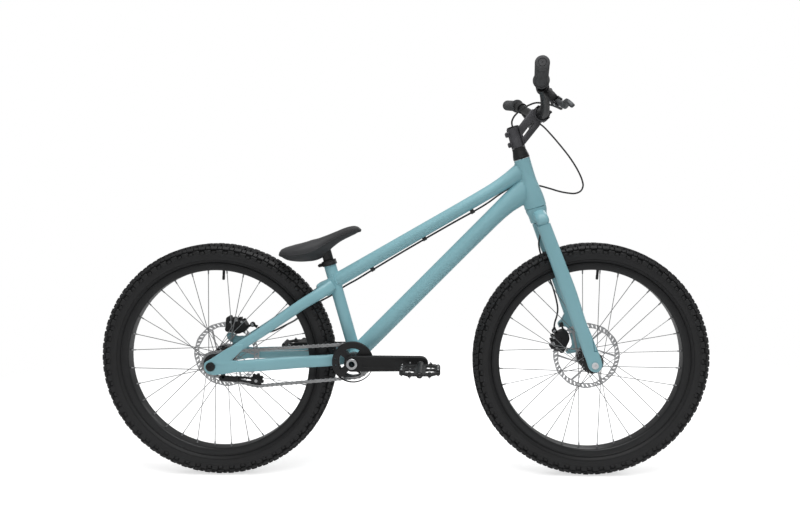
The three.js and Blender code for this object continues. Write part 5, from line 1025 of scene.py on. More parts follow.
spoke_steel = finish_of("spoke_steel", (0.30, 0.305, 0.31), 0.34, metallic=0.8, grain=1800, mottle=0.06)
spoke_count, crossings, group = 32, 3, 4
spoke_circle, nipple_circle, head_offset = 0.0255, 0.2398, 0.0026
for wheel, body_name, left, right, half, shift in (
    ("front", "front_wheel", 0.021, 0.033, 0.0492, Vector((0, 0, 0))),
    ("rear", "rear_wheel", 0.033, 0.022, 0.0667, -wheel_gap),
):
    strands, nipples = [], []
    for i in range(group):
        y = left if i % 2 == 0 else -right
        out = 1 if i % 2 == 0 else -1
        forward = i % 4 < 2
        aside = out * (head_offset if forward else -head_offset)
        angle = 2 * math.pi * (i + 0.5) / spoke_count
        cross = 2 * math.pi * crossings / (spoke_count / 2) * (1 if forward else -1)
        foot = around(spoke_circle, y + aside, angle + cross)
        head = around(nipple_circle, out * 0.003, angle)
        inside = around(spoke_circle, y - aside, angle + cross)
        bends = [inside, foot, foot.lerp(head, 0.05), head.lerp(foot, 0.03)]
        strands.append(wire(bends, 0.00095, roundness=1))
        strands.append(turned([
            (0, 0), (0, 0.0021), (0.0007, 0.0021), (0.0012, 0.0010), (0.0012, 0),
        ], inside, (inside - foot).normalized(), 10))
        nipples.append(turned([
            (-0.0105, 0.0010), (-0.0100, 0.0017), (-0.0020, 0.0019), (-0.0010, 0.0026), (0.0004, 0.0026),
            (0.0004, 0), (-0.0105, 0),
        ], head, (head - foot).normalized(), 10))
    strands = ringed(joined(strands), front_hub, spoke_count // group)
    nipples = ringed(joined(nipples), front_hub, spoke_count // group)
    hub = turned([
        (-half, 0.0064), (-half, 0.0098), (-half + 0.0006, 0.0104), (-right - 0.0062, 0.0106),
        (-right - 0.0048, 0.0170), (-right - 0.0026, 0.0225), (-right - 0.0023, 0.0284),
        (-right - 0.0016, 0.0290), (-right + 0.0016, 0.0290), (-right + 0.0023, 0.0284),
        (-right + 0.0026, 0.0230), (-right + 0.0060, 0.0176), (-right + 0.0100, 0.0166),
        (left - 0.0100, 0.0166), (left - 0.0060, 0.0176), (left - 0.0026, 0.0230), (left - 0.0023, 0.0284),
        (left - 0.0016, 0.0290), (left + 0.0016, 0.0290), (left + 0.0023, 0.0284), (left + 0.0026, 0.0225),
        (left + 0.0048, 0.0170), (left + 0.0062, 0.0120), (half - 0.0006, 0.0104), (half, 0.0098),
        (half, 0.0064),
    ], front_hub, (0, 1, 0), 56)
    for piece, name, finish, slot_name in (
        (strands, "spokes", spoke_steel, "steel"), (nipples, "nipples", spoke_steel, "steel"),
        (hub, "hub_shell", black, "anodised"),
    ):
        piece.data.transform(Matrix.Translation(shift))
        replaced = (f"{wheel}_hub",) if name == "hub_shell" else ()
        settle(piece, f"{wheel}_{name}", finish, body_name, slot_name, *replaced)

# The axles: bolts through the hubs, with socket heads outside the fork ends and the dropouts. The
# front one's heads are bright alloy and the rear one's are black.
axle_alloy = finish_of("axle_alloy", (0.80, 0.81, 0.83), 0.32, metallic=0.15, grain=1800, mottle=0.04)
for wheel, body_name, reach, radius, shift in (
    ("front", "steering", 0.0696, 0.0088, Vector((0, 0, 0))), ("rear", "frame", 0.0831, 0.0118, -wheel_gap),
):
    pairs = []
    for way in (-1, 1):
        head = [
            (reach - 0.0016, 0), (reach - 0.0016, radius * 0.38), (reach, radius * 0.44),
            (reach, radius * 0.84), (reach - 0.0008, radius * 0.97), (reach - 0.0042, radius),
            (reach - 0.0047, radius * 0.97), (reach - 0.0047, 0.0050),
        ]
        pairs += [(way * a, b) for a, b in (head if way < 0 else head[::-1])]
    axle = turned(pairs, front_hub + shift, (0, 1, 0), 40)
    settle(axle, f"{wheel}_axle_skin", axle_alloy if wheel == "front" else black, body_name, "steel",
           f"{wheel}_axle")

# The disc brakes: wavy stainless rotors bolted to the hubs, and two-piston calipers, forged black,
# on the fork's tabs and on the plate of the left seatstay. The pads move onto the rotor.
def ray(radius, angle):
    """A point at a radius and an angle about the origin of an outline."""
    return radius * math.cos(angle), radius * math.sin(angle)


wave_count, arm_count, slot_count = 12, 6, 45
rotor_outline = []
for i in range(16 * wave_count):
    angle = 2 * math.pi * i / (16 * wave_count)
    rotor_outline.append(ray(0.0893 + 0.0007 * math.cos(wave_count * angle), angle))
rotor_holes = [circle(0, 0, 0.0185, 36)]
for i in range(arm_count):
    start = 2 * math.pi * i / arm_count
    window = []
    for j in range(13):
        angle = start + math.radians(2.2 + 55.6 * j / 12)
        window.append(ray(0.0762 - 0.0008 * math.cos(wave_count * angle), angle))
    window += [ray(0.0300, start + math.radians(89 - 50 * j / 8)) for j in range(9)]
    rotor_holes.append(window)
for i in range(slot_count):
    angle = 2 * math.pi * i / slot_count
    slot_points = []
    for j in range(10):
        along, side = ray(1, 2 * math.pi * j / 10)
        along, side = 0.0050 * along, 0.0019 * side
        radius = 0.0825 + along * 0.80 - side * 0.6
        reach = along * 0.6 + side * 0.80
        slot_points.append((
            radius * math.cos(angle) - reach * math.sin(angle),
            radius * math.sin(angle) + reach * math.cos(angle),
        ))
    rotor_holes.append(slot_points)
rotor_steel = finish_of(
    "rotor_steel", (0.56, 0.565, 0.575), 0.36, metallic=0.6, grain=2200, bump=0.08, mottle=0.07,
)


def rotor(plane, hub):
    """A brake disc with its six bolts, in its plane on a hub."""
    disc = flat(rotor_outline, 0.0018, 0, rotor_holes, 0.0002, 1)
    disc.data.transform(Matrix.Translation(Vector((hub.x, plane, hub.z))))
    bolts = [
        bolt(Vector((hub.x + 0.0225 * math.cos(a), plane + 0.0012, hub.z + 0.0225 * math.sin(a))), (0, 1, 0),
             0.0040, 0.0020, 14)
        for a in [math.radians(30 + 60 * i) for i in range(6)]
    ]
    return joined([disc, *bolts])


settle(rotor(0.039, front_hub), "front_rotor_skin", rotor_steel, "front_wheel", "rotor_steel", "front_rotor")
settle(rotor(0.0524, rear_hub), "rear_rotor_skin", rotor_steel, "rear_wheel", "rotor_steel", "rear_rotor")


def caliper(outline, plane, hub, middle, along, outward, lean):
    """A caliper, cut for its rotor and pads. Its outline runs along the rotor's rim and out from the hub."""
    def inside(piece):
        return posed(piece, Vector((middle.x, plane, middle.z)), along, outward)

    body = inside(flat(smoothed(outline, 1), 0.027, 0.0015, (), 0.0026, 3))
    space = turned([(-0.0015, 0), (-0.0015, 0.0912), (0.0015, 0.0912), (0.0015, 0)],
                   Vector((hub.x, plane, hub.z)), (0, 1, 0), 72)
    body = cut_away(body, space)
    clear_selection()
    bpy.ops.mesh.primitive_cube_add(size=1, location=(middle.x, plane, middle.z))
    pocket = bpy.context.object
    pocket.scale = (0.0276, 0.0134, 0.0216)
    pocket.rotation_euler.y = math.radians(lean)
    bpy.ops.object.transform_apply(location=True, rotation=True, scale=True)
    pieces = [cut_away(body, pocket)]
    for way, face in ((1, 0.0150), (-1, -0.0120)):
        pieces.append(inside(turned([
            (-0.0016, 0), (-0.0016, 0.0122), (0.0010, 0.0122), (0.0017, 0.0114), (0.0017, 0.0092),
            (0.0006, 0.0086), (0.0006, 0.0046), (0.0014, 0.0040), (0.0014, 0),
        ], (0, face, 0.0012), (0, way, 0), 32)))
        for x in (-0.0150, 0.0150):
            pieces.append(inside(turned([
                (-0.0016, 0), (-0.0016, 0.0052), (0.0008, 0.0052), (0.0014, 0.0046), (0.0014, 0),
            ], (x, face, 0.0120), (0, way, 0), 20)))
    for x in (-0.0105, -0.0062, 0.0062, 0.0105):
        fin = [(x - 0.0008, 0.0150), (x + 0.0008, 0.0150), (x + 0.0008, 0.0226), (x - 0.0008, 0.0226)]
        pieces.append(inside(flat(fin, 0.0190, 0.0015, (), 0.0003, 1)))
    bright = []
    for x in (-0.0150, 0.0150):
        bright.append(inside(bolt(Vector((x, -0.0134, 0.0120)), (0, -1, 0), 0.0034, 0.0016, 16)))
        bright.append(inside(bolt(Vector((x, 0.0164, 0.0120)), (0, 1, 0), 0.0034, 0.0016, 16)))
    pad_bolt = [(-0.0095, 0), (-0.0095, 0.0016), (0.0125, 0.0016), (0.0125, 0)]
    bright.append(inside(turned(pad_bolt, (0, 0, 0.0206), (0, 1, 0), 12)))
    pad_tab = [(-0.0042, 0.0140), (0.0042, 0.0140), (0.0030, 0.0222), (-0.0030, 0.0222)]
    bright.append(inside(flat(pad_tab, 0.0016, -0.0128, [circle(0, 0.0190, 0.0012, 10)], 0.0003, 1)))
    bright.append(inside(turned([
        (0, 0), (0, 0.0030), (0.0030, 0.0030), (0.0034, 0.0020), (0.0058, 0.0020), (0.0062, 0.0014),
        (0.0062, 0),
    ], (-0.0235, -0.0050, 0.0190), (0, 0, 1), 14)))
    return pieces, bright


def banjo(centre, towards):
    """The hose's ring joint on a caliper: an eye with a bolt through it and a short neck to the hose."""
    eye = turned([
        (-0.0036, 0), (-0.0036, 0.0062), (-0.0030, 0.0069), (0.0030, 0.0069), (0.0036, 0.0062), (0.0036, 0),
    ], centre, (0, 1, 0), 24)
    length = (towards - centre).length
    neck = turned([
        (0.0030, 0), (0.0030, 0.0040), (length - 0.0036, 0.0036), (length - 0.0030, 0.0042),
        (length, 0.0042), (length, 0),
    ], centre, (towards - centre).normalized(), 16)
    heads = [
        bolt(centre + Vector((0, side * 0.0034, 0)), (0, side, 0), 0.0044, 0.0022, 6) for side in (-1, 1)
    ]
    return [eye, neck], heads


front_middle = on_steering(-0.3666, -0.0338)
front_outline = [
    (0.0247, -0.0030), (0.0269, -0.0165), (0.0240, -0.0255), (0.0139, -0.0290), (0.0029, -0.0290),
    (-0.0060, -0.0260), (-0.0120, -0.0204), (-0.0220, -0.0120), (-0.0330, -0.0040), (-0.0330, 0.0060),
    (-0.0255, 0.0085), (-0.0225, 0.0150), (-0.0170, 0.0225), (-0.0110, 0.0285), (-0.0042, 0.0280),
    (-0.0040, 0.0200), (0.0060, 0.0180), (0.0130, 0.0140), (0.0180, 0.0060),
]
front_pieces, front_bright = caliper(
    front_outline, 0.039, front_hub, front_middle, steer_up, -steer_fore, -16.6,
)
front_joint, front_heads = banjo(Vector((0.4044, 0.0450, 0.3770)), Vector((0.4044, 0.0450, 0.3860)))
front_joint.append(turned([
    (0, 0), (0, 0.0030), (0.0100, 0.0024), (0.0115, 0.0024), (0.0120, 0.0052), (0.0128, 0.0058),
    (0.0215, 0.0058), (0.0224, 0.0050), (0.0224, 0),
], (0.4265, 0.0300, 0.3815), (-0.36, 0, 0.93), 20))
for lower, upper in ((-0.4060, -0.3995), (-0.3337, -0.3272)):
    start, end = on_steering(lower, -0.0200, 0.0465), on_steering(upper, -0.0200, 0.0465)
    front_heads.append(turned([
        (0, 0), (0, 0.0040), (0.0012, 0.0040), (0.0016, 0.0032), (0.0049, 0.0032), (0.0053, 0.0040),
        (0.0065, 0.0040), (0.0065, 0),
    ], start, end - start, 16))
settle(joined(front_pieces + front_joint), "front_caliper_skin", black, "steering", "anodised",
       "front_caliper")
settle(joined(front_bright + front_heads), "front_caliper_bolts", steel, "steering", "steel")
rear_middle = rear_hub + Vector((0.033, 0, 0.0801))
rear_outline = [
    (-0.0337, -0.0089), (-0.0300, -0.0006), (-0.0297, 0.0194), (-0.0262, 0.0253), (-0.0188, 0.0270),
    (-0.0154, 0.0198), (-0.0092, 0.0179), (-0.0075, 0.0217), (-0.0040, 0.0190), (0.0074, 0.0170),
    (0.0154, 0.0120), (0.0209, 0.0124), (0.0247, 0.0060), (0.0280, 0.0000), (0.0270, -0.0075),
    (0.0243, -0.0130), (0.0160, -0.0172), (0.0049, -0.0220), (-0.0040, -0.0205), (-0.0100, -0.0175),
    (-0.0181, -0.0165), (-0.0291, -0.0165),
]
rear_pieces, rear_bright = caliper(rear_outline, 0.0524, rear_hub, rear_middle, (1, 0, 0), (0, 0, 1), 0)
rear_eye, rear_neck = Vector((-0.4165, 0.0500, 0.3935)), Vector((-0.4350, 0.0500, 0.3852))
rear_joint, rear_heads = banjo(rear_eye, Vector((-0.4045, 0.0530, 0.3858)))
rear_joint.append(turned([
    (0, 0), (0, 0.0042), (0.0090, 0.0034), (0.0160, 0.0034), (0.0160, 0),
], rear_neck, rear_eye - rear_neck, 18))
settle(joined(rear_pieces + rear_joint), "rear_caliper_skin", black, "frame", "anodised", "rear_caliper")
settle(joined(rear_bright + rear_heads), "rear_caliper_bolts", steel, "frame", "steel")
pad_lining = finish_of("pad_lining", (0.10, 0.085, 0.07), 0.8, grain=2600, bump=0.4, mottle=0.3)
for name in ("front_pad_left", "front_pad_right", "rear_pad_left", "rear_pad_right"):
    nodes[name].data.materials.clear()
    nodes[name].data.materials.append(pad_lining)

# The drive: forged black cranks on a hollow spindle, a steel chainring behind a bash guard, a roller
# chain, a small sprocket at the hub and a sprung arm whose toothed pulley keeps the lower run tight.
chain_plane = -0.050
pulley_centre = Vector((-0.380488, 0, 0.26755))
chain_pitch, link_total = 0.0127, 76
wheels = [(bracket, 22), (rear_hub, 15), (pulley_centre, 8)]


def pitch_radius(teeth):
    """The radius at which a chain's pins lie round a toothed wheel."""
    return chain_pitch / 2 / math.sin(math.pi / teeth)


def chain_path():
    """The runs and wraps of the chain round its three wheels, each with its number of links."""
    runs = []
    for i, (at, teeth) in enumerate(wheels):
        to, to_teeth = wheels[(i + 1) % 3]
        span = to - at
        way = span.normalized()
        lean = (pitch_radius(teeth) - pitch_radius(to_teeth)) / span.length
        outward = Vector((way.z, 0, -way.x)) * math.sqrt(1 - lean * lean) + way * lean
        runs.append((at + outward * pitch_radius(teeth), to + outward * pitch_radius(to_teeth),
                     math.atan2(outward.z, outward.x)))
    parts = []
    for i, (start, end, angle) in enumerate(runs):
        at, teeth = wheels[(i + 1) % 3]
        turn_by = (runs[(i + 1) % 3][2] - angle) % (2 * math.pi)
        parts.append(("run", start, end, (end - start).length / chain_pitch))
        parts.append(("wrap", at, teeth, angle, turn_by, turn_by * teeth / 2 / math.pi))
    return parts


chain_parts = chain_path()


def pin_at(link):
    """Where a link's first pin lies, counted in links along the chain."""
    rest = link % link_total
    for piece in chain_parts:
        if rest <= piece[-1]:
            if piece[0] == "run":
                return piece[1].lerp(piece[2], rest / piece[3])
            angle = piece[3] + piece[4] * rest / piece[5]
            return piece[1] + Vector((math.cos(angle), 0, math.sin(angle))) * pitch_radius(piece[2])
        rest -= piece[-1]
    return chain_parts[0][1].copy()


def link_plate(first, second, y, thickness, radius):
    """One side plate of a link, with a waist between its two round ends."""
    way = (second - first).normalized()
    up = Vector((-way.z, 0, way.x))
    outline = []
    for centre, sign in ((second, 1), (first, -1)):
        for step in range(7):
            angle = math.radians(-75 + 25 * step)
            point = centre + (way * math.cos(angle) + up * math.sin(angle)) * radius * sign
            outline.append((point.x, point.z))
        waist = (first + second) / 2 + up * radius * 0.72 * sign
        outline.append((waist.x, waist.z))
    return flat(outline, thickness, y, (), 0.00015, 0)


origin, next_pin = Vector((0, 0, 0)), Vector((chain_pitch, 0, 0))
outer_y, inner_y = 0.0036, 0.0025
model_outer = link_plate(origin, next_pin, -outer_y, 0.0010, 0.0041)
model_inner = link_plate(origin, next_pin, -inner_y, 0.0010, 0.0041)
roller = turned([
    (-0.0019, 0), (-0.0019, 0.0037), (-0.0016, 0.0039), (0.0016, 0.0039), (0.0019, 0.0037), (0.0019, 0),
], origin, (0, 1, 0), 12)
pin = turned([
    (-0.0041, 0), (-0.0041, 0.0014), (-0.0038, 0.0018), (0.0038, 0.0018), (0.0041, 0.0014), (0.0041, 0),
], origin, (0, 1, 0), 10)
links = []
for i in range(link_total):
    here, there = pin_at(i), pin_at(i + 1)
    way = (there - here).normalized()
    turn_to = Matrix.Translation(Vector((here.x, chain_plane, here.z))) @ Matrix(
        (way, Vector((0, 1, 0)), Vector((-way.z, 0, way.x)))).transposed().to_4x4()
    plate, plate_y = (model_outer, outer_y) if i % 2 else (model_inner, inner_y)
    for model, aside in ((plate, 0), (plate, 2 * plate_y), (roller, 0), (pin, 0)):
        link_piece = moved_copy(model, Vector((0, aside, 0)))
        link_piece.data.transform(turn_to)
        links.append(link_piece)
for model in (model_outer, model_inner, roller, pin):
    bpy.data.objects.remove(model)
chain_steel = finish_of("chain_steel", (0.40, 0.405, 0.41), 0.33, metallic=0.85, grain=2000, mottle=0.12)
settle(joined(links), "chain_links", chain_steel, "frame", "steel", "chain")


def toothed(teeth, centre, root_drop, height, wide, tip):
    """The outline of a toothed wheel whose gaps sit on the chain's pins."""
    nearest = min(range(link_total), key=lambda i: abs((pin_at(i) - centre).length - pitch_radius(teeth)))
    place = pin_at(nearest) - centre
    start = math.atan2(place.z, place.x) + math.pi / teeth
    root = pitch_radius(teeth) - root_drop
    outline = []
    for i in range(teeth):
        angle = start + 2 * math.pi * i / teeth
        out = Vector((math.cos(angle), 0, math.sin(angle)))
        side = Vector((-out.z, 0, out.x))
        for radius, offset in [
            (root, -wide / 2), (root + height * 0.5, -wide * 0.36), (root + height, -tip / 2),
            (root + height, tip / 2), (root + height * 0.5, wide * 0.36), (root, wide / 2),
        ]:
            point = centre + out * radius + side * offset
            outline.append((point.x, point.z))
        low = centre + Vector((math.cos(angle + math.pi / teeth), 0, math.sin(angle + math.pi / teeth))) * (
            root - 0.0004)
        outline.append((low.x, low.z))
    return outline


def crescents(centre):
    """Four windows round a chainring's or guard's centre, wide outside and narrow inside."""
    holes = []
    for quarter in range(4):
        middle = math.pi / 2 * (quarter + 1)
        rim_angles = [middle + math.radians(62) * (0.5 - i / 12) for i in range(13)]
        hub_angles = [middle + math.radians(62) * 0.8 * (i / 8 - 0.5) for i in range(9)]
        holes.append([
            (centre.x + radius * math.cos(angle), centre.z + radius * math.sin(angle))
            for radius, angles in ((0.036, rim_angles), (0.022, hub_angles)) for angle in angles
        ])
    return holes


ring_holes = [circle(bracket.x, bracket.z, 0.0175, 36), *crescents(bracket)]
ring = flat(toothed(22, bracket, 0.0043, 0.0070, 0.0074, 0.0026), 0.0020, chain_plane, ring_holes, 0.0003, 1)
settle(ring, "chainring_skin", chain_steel, "crank", "steel", "chainring")
guard_holes = list(ring_holes)
for x, z in ((0.0445, 0.0085), (0.0475, 0.0035), (0.0445, -0.0070), (-0.0445, -0.0085), (-0.0445, 0.0070)):
    guard_holes.append(circle(bracket.x + x, bracket.z + z, 0.0016, 14))
guard = flat(circle(bracket.x, bracket.z, 0.0535, 120), 0.0088, -0.0619, guard_holes, 0.0016, 3)
spacer = turned([
    (-0.0575, 0.0178), (-0.0575, 0.0212), (-0.0514, 0.0212), (-0.0514, 0.0178),
], bracket, (0, 1, 0), 36)
settle(joined([guard, spacer]), "bash_guard_skin", black, "crank", "anodised", "bash_guard")
sprocket = flat(toothed(15, rear_hub, 0.0043, 0.0068, 0.0074, 0.0026), 0.0020, chain_plane,
                [circle(rear_hub.x, rear_hub.z, 0.0177, 36)], 0.0003, 1)
settle(sprocket, "rear_sprocket_skin", dark_steel, "drive_sprocket", "steel", "rear_sprocket")
freewheel = turned([
    (-0.0575, 0.0140), (-0.0575, 0.0196), (-0.0568, 0.0206), (-0.0556, 0.0212), (-0.0552, 0.0250),
    (-0.0546, 0.0262), (-0.0512, 0.0262), (-0.0512, 0.0177), (-0.0440, 0.0177), (-0.0434, 0.0172),
    (-0.0434, 0.0140),
], rear_hub, (0, 1, 0), 64)
notch_circle, notch_start = 0.0196, 0.4
for i in range(4):
    angle = math.pi / 2 * i + notch_start
    notch = circle(
        rear_hub.x + notch_circle * math.cos(angle), rear_hub.z + notch_circle * math.sin(angle), 0.0021, 12,
    )
    freewheel = cut_away(freewheel, flat(notch, 0.004, -0.0575, (), 0.0002, 0))
settle(freewheel, "freewheel", black, "drive_sprocket", "steel")

# The cranks: two arms forged of aluminium, each with a shallow valley between its boss and its eye,
# clamped to a hollow steel spindle that turns in the black cups of the bottom bracket.
crank_length, boss_radius, tip_radius = 0.175, 0.0205, 0.019


def arm_outline(way):
    """The outline of an arm: an arc round its boss, an arc round its eye, and straight sides between."""
    spread = math.asin((boss_radius - tip_radius) / crank_length)
    start = math.pi / 2 - way * spread
    outline = []
    for i in range(33):
        angle = start + way * math.pi * i / 32 * (1 + 2 * spread / math.pi)
        outline.append((
            bracket.x + boss_radius * math.cos(angle), bracket.z + boss_radius * math.sin(angle),
        ))
    for i in range(25):
        angle = -start + way * math.pi * i / 24 * (1 - 2 * spread / math.pi)
        outline.append((
            bracket.x + way * crank_length + tip_radius * math.cos(angle),
            bracket.z + tip_radius * math.sin(angle),
        ))
    return outline


def crank_arm(way, plane, hub_pairs):
    """One arm, forward or backward as its way says, with a turned collar at its boss."""
    eyes = [
        circle(bracket.x, bracket.z, 0.0124, 36),
        circle(bracket.x + way * crank_length, bracket.z, 0.0073, 28),
    ]
    arm = flat(arm_outline(way), 0.015, plane, eyes, 0.0034, 4)
    valley = [(bracket.x + way * x, bracket.z + z) for x, z in [
        (0.030, -0.0105), (0.145, -0.0098), (0.1495, -0.0060), (0.1495, 0.0060), (0.145, 0.0098),
        (0.030, 0.0105), (0.0262, 0.0060), (0.0262, -0.0060)]]
    outside = plane + math.copysign(0.0075, plane)
    arm = cut_away(arm, flat(smoothed(valley), 0.0022, outside, (), 0.0009, 2))
    boss = turned(hub_pairs, bracket, (0, 1, 0), 48)
    return joined([arm, boss])


crank_finish = finish_of("crank_black", (0.0062, 0.0064, 0.0070), 0.52, metallic=0.2, grain=1300, mottle=0.1)
right_arm = crank_arm(1, -0.0765, [
    (-0.0700, 0.0124), (-0.0700, 0.0172), (-0.0490, 0.0172), (-0.0482, 0.0166), (-0.0482, 0.0124),
])
settle(right_arm, "crank_right_skin", crank_finish, "crank", "anodised", "crank_right")
left_arm = crank_arm(-1, 0.0765, [
    (0.0692, 0.0124), (0.0692, 0.0172), (0.0592, 0.0172), (0.0584, 0.0166), (0.0584, 0.0124),
])
settle(left_arm, "crank_left_skin", crank_finish, "crank", "anodised", "crank_left")
spindle = turned([
    (-0.0869, 0.0080), (-0.0869, 0.0132), (-0.0862, 0.0140), (-0.0842, 0.0140), (-0.0842, 0.0121),
    (0.0842, 0.0121), (0.0842, 0.0140), (0.0862, 0.0140), (0.0869, 0.0132), (0.0869, 0.0080),
    (0.0820, 0.0078), (-0.0820, 0.0078),
], bracket, (0, 1, 0), 48)
settle(spindle, "spindle", steel, "crank", "steel")
cups = [
    turned([
        (way * 0.0366, 0.0125), (way * 0.0366, 0.0198), (way * 0.0374, 0.0200), (way * 0.0380, 0.0194),
        (way * 0.0390, 0.0198), (way * 0.0397, 0.0188), (way * 0.0397, 0.0125),
    ], bracket, (0, 1, 0), 48)
    for way in (-1, 1)
]
settle(joined(cups), "bracket_cups", black, "frame", "anodised")

# The pedals: a flat alloy cage on a barrel, with steel pins round its rim, turning on a steel axle
# that is screwed into the crank.
right_pedal = bracket + Vector((crank_length, 0, 0))
pedal_shift = Vector((-2 * crank_length, 0, 0))
pedal_axes = ((1, 0, 0), (0, 1, 0), (0, 0, 1))
tip, root = -0.185, -0.092
cage_outline = [
    (-0.030, tip), (0.030, tip), (0.050, tip + 0.020), (0.050, root - 0.020), (0.038, root),
    (-0.038, root), (-0.050, root - 0.020), (-0.050, tip + 0.020),
]
window_near, window_far, window_slant = 0.01225, 0.039, 0.009
tip_window = (tip + 0.011, (tip + root) / 2 - 0.00275, window_slant, 0)
root_window = ((tip + root) / 2 + 0.00275, root - 0.011, 0, window_slant)
windows = []
for way in (-1, 1):
    for start, end, start_slant, end_slant in (tip_window, root_window):
        windows.append(smoothed([
            (way * window_near, start), (way * window_far, start + start_slant),
            (way * window_far, end - end_slant), (way * window_near, end),
        ]))
cage = posed(flat(cage_outline, 0.0062, 0, windows, 0.0014, 3), right_pedal, *pedal_axes)
barrel = turned([
    (tip + 0.0004, 0.0052), (tip + 0.0004, 0.0074), (tip + 0.002, 0.0083), (tip + 0.012, 0.0068),
    (root - 0.016, 0.0068), (root - 0.010, 0.0090), (root - 0.0014, 0.0090), (root - 0.0004, 0.0084),
    (root - 0.0004, 0.0057),
], right_pedal, (0, 1, 0), 36)
cage_pieces = [cage, barrel]
for way in (-1, 1):
    rail = [(way * 0.0405, tip + 0.019), (way * 0.0495, tip + 0.0215), (way * 0.0495, root - 0.0215),
            (way * 0.0405, root - 0.019)]
    cage_pieces.append(posed(flat(rail, 0.0130, 0, (), 0.0022, 3), right_pedal, *pedal_axes))
rail_pins = [(x, y) for x in (-0.0445, 0.0445) for y in (-0.160, -0.1385, -0.117)]
end_pins = [(-0.024, -0.1795), (0.024, -0.1795), (-0.026, -0.0975), (0.026, -0.0975)]
pins = []
for x, y in rail_pins + end_pins:
    place = right_pedal + Vector((x, y, 0))
    if (x, y) in end_pins:
        cage_pieces.append(turned([
            (-0.0058, 0), (-0.0058, 0.0036), (-0.0048, 0.0044), (0.0048, 0.0044), (0.0058, 0.0036),
            (0.0058, 0),
        ], place, (0, 0, 1), 16))
    for sign in (-1, 1):
        pins.append(turned([
            (0.0050, 0), (0.0050, 0.0020), (0.0088, 0.0020), (0.0094, 0.0014), (0.0094, 0),
        ], place, (0, 0, sign), 10))
pedal_axle = turned([
    (-0.1822, 0), (-0.1822, 0.0044), (-0.1816, 0.0051), (-0.0926, 0.0051), (-0.0914, 0.0088),
    (-0.0846, 0.0088), (-0.0842, 0.0070), (-0.0700, 0.0070), (-0.0692, 0.0062), (-0.0692, 0.0030),
    (-0.0720, 0.0028), (-0.0720, 0),
], right_pedal, (0, 1, 0), 32)
pedal_metal = finish_of("pedal_black", (0.021, 0.0215, 0.0225), 0.5, metallic=0.2, grain=1300, mottle=0.12)
pin_group = joined(pins)
barrel_cage = joined(cage_pieces)
for piece, name, finish, slot_name, replaced in (
    (barrel_cage, "pedal", pedal_metal, "anodised", "pedal"),
    (pin_group, "pedal_pins", steel, "steel", None),
    (pedal_axle, "pedal_axle", steel, "steel", "pedal_axle"),
):
    other = mirror_copy(piece)
    other.data.transform(Matrix.Translation(pedal_shift))
    for item, side in ((piece, "right"), (other, "left")):
        body_name = "crank" if name == "pedal_axle" else f"pedal_{side}_body"
        settle(item, f"{name}_{side}_skin", finish, body_name, slot_name,
               *((f"{replaced}_{side}",) if replaced else ()))

# The tensioner: an aluminium bracket bolted inside the right dropout, and a black arm that turns on
# its pin and carries the pulley between a washer on each side.
pivot = Vector((-0.432, 0, 0.273))


def bar_between(start, end, y, half, thickness, lighten=0.0):
    """A flat bar with round ends from one place to another, with a long window where one is asked for."""
    way = (end - start).normalized()
    up = Vector((-way.z, 0, way.x))
    outline = []
    for centre, sign in ((end, 1), (start, -1)):
        for step in range(9):
            angle = math.radians(-90 + 22.5 * step)
            point = centre + (way * math.cos(angle) + up * math.sin(angle)) * half * sign
            outline.append((point.x, point.z))
    holes = []
    if lighten:
        a, b, rise = start + way * half * 1.7, end - way * half * 1.7, up * half * lighten
        holes.append(smoothed([(corner.x, corner.z) for corner in (a - rise, b - rise, b + rise, a + rise)]))
    return flat(outline, thickness, y, holes, 0.0009, 3)


arm = bar_between(pivot, pulley_centre, -0.0575, 0.0070, 0.0048, 0.34)
arm_pin = turned([
    (-0.0600, 0), (-0.0600, 0.0032), (-0.0405, 0.0032), (-0.0405, 0),
], pulley_centre, (0, 1, 0), 20)
pulley_bolt = bolt(Vector((pulley_centre.x, -0.0598, pulley_centre.z)), (0, -1, 0), 0.0040, 0.0010)
settle(joined([arm, arm_pin]), "tensioner_arm_skin", black, "tensioner", "anodised", "tensioner_arm")
settle(pulley_bolt, "pulley_bolt", steel, "tensioner", "steel")
foot = Vector((-0.470, 0, 0.2754))
mount = bar_between(foot + Vector((0.002, 0, 0.0005)), pivot, -0.0628, 0.0072, 0.0046)
upstand_outline = [(-0.4700, 0.2740), (-0.4590, 0.2740), (-0.4590, 0.2985), (-0.4700, 0.2985)]
upstand = flat(smoothed(upstand_outline), 0.0046, -0.0628, (), 0.0009, 3)
body_pin = turned([
    (-0.0650, 0), (-0.0650, 0.0052), (-0.0640, 0.0056), (-0.0590, 0.0032), (-0.0552, 0.0032), (-0.0552, 0),
], pivot, (0, 1, 0), 24)
settle(joined([mount, upstand, body_pin]), "tensioner_body_skin", black, "frame", "anodised",
       "tensioner_body")
pulley = flat(toothed(8, pulley_centre, 0.0030, 0.0045, 0.0100, 0.0058), 0.0040, chain_plane,
              [circle(pulley_centre.x, pulley_centre.z, 0.0040, 24)], 0.0005, 2)
pulley_hub = turned([
    (-0.0548, 0.0040), (-0.0548, 0.0098), (-0.0540, 0.0112), (-0.0525, 0.0116), (-0.0475, 0.0116),
    (-0.0460, 0.0112), (-0.0455, 0.0100), (-0.0455, 0.0040),
], pulley_centre, (0, 1, 0), 28)
settle(joined([pulley, pulley_hub]), "tensioner_pulley_skin", black, "tensioner_wheel", "anodised",
       "tensioner_pulley")

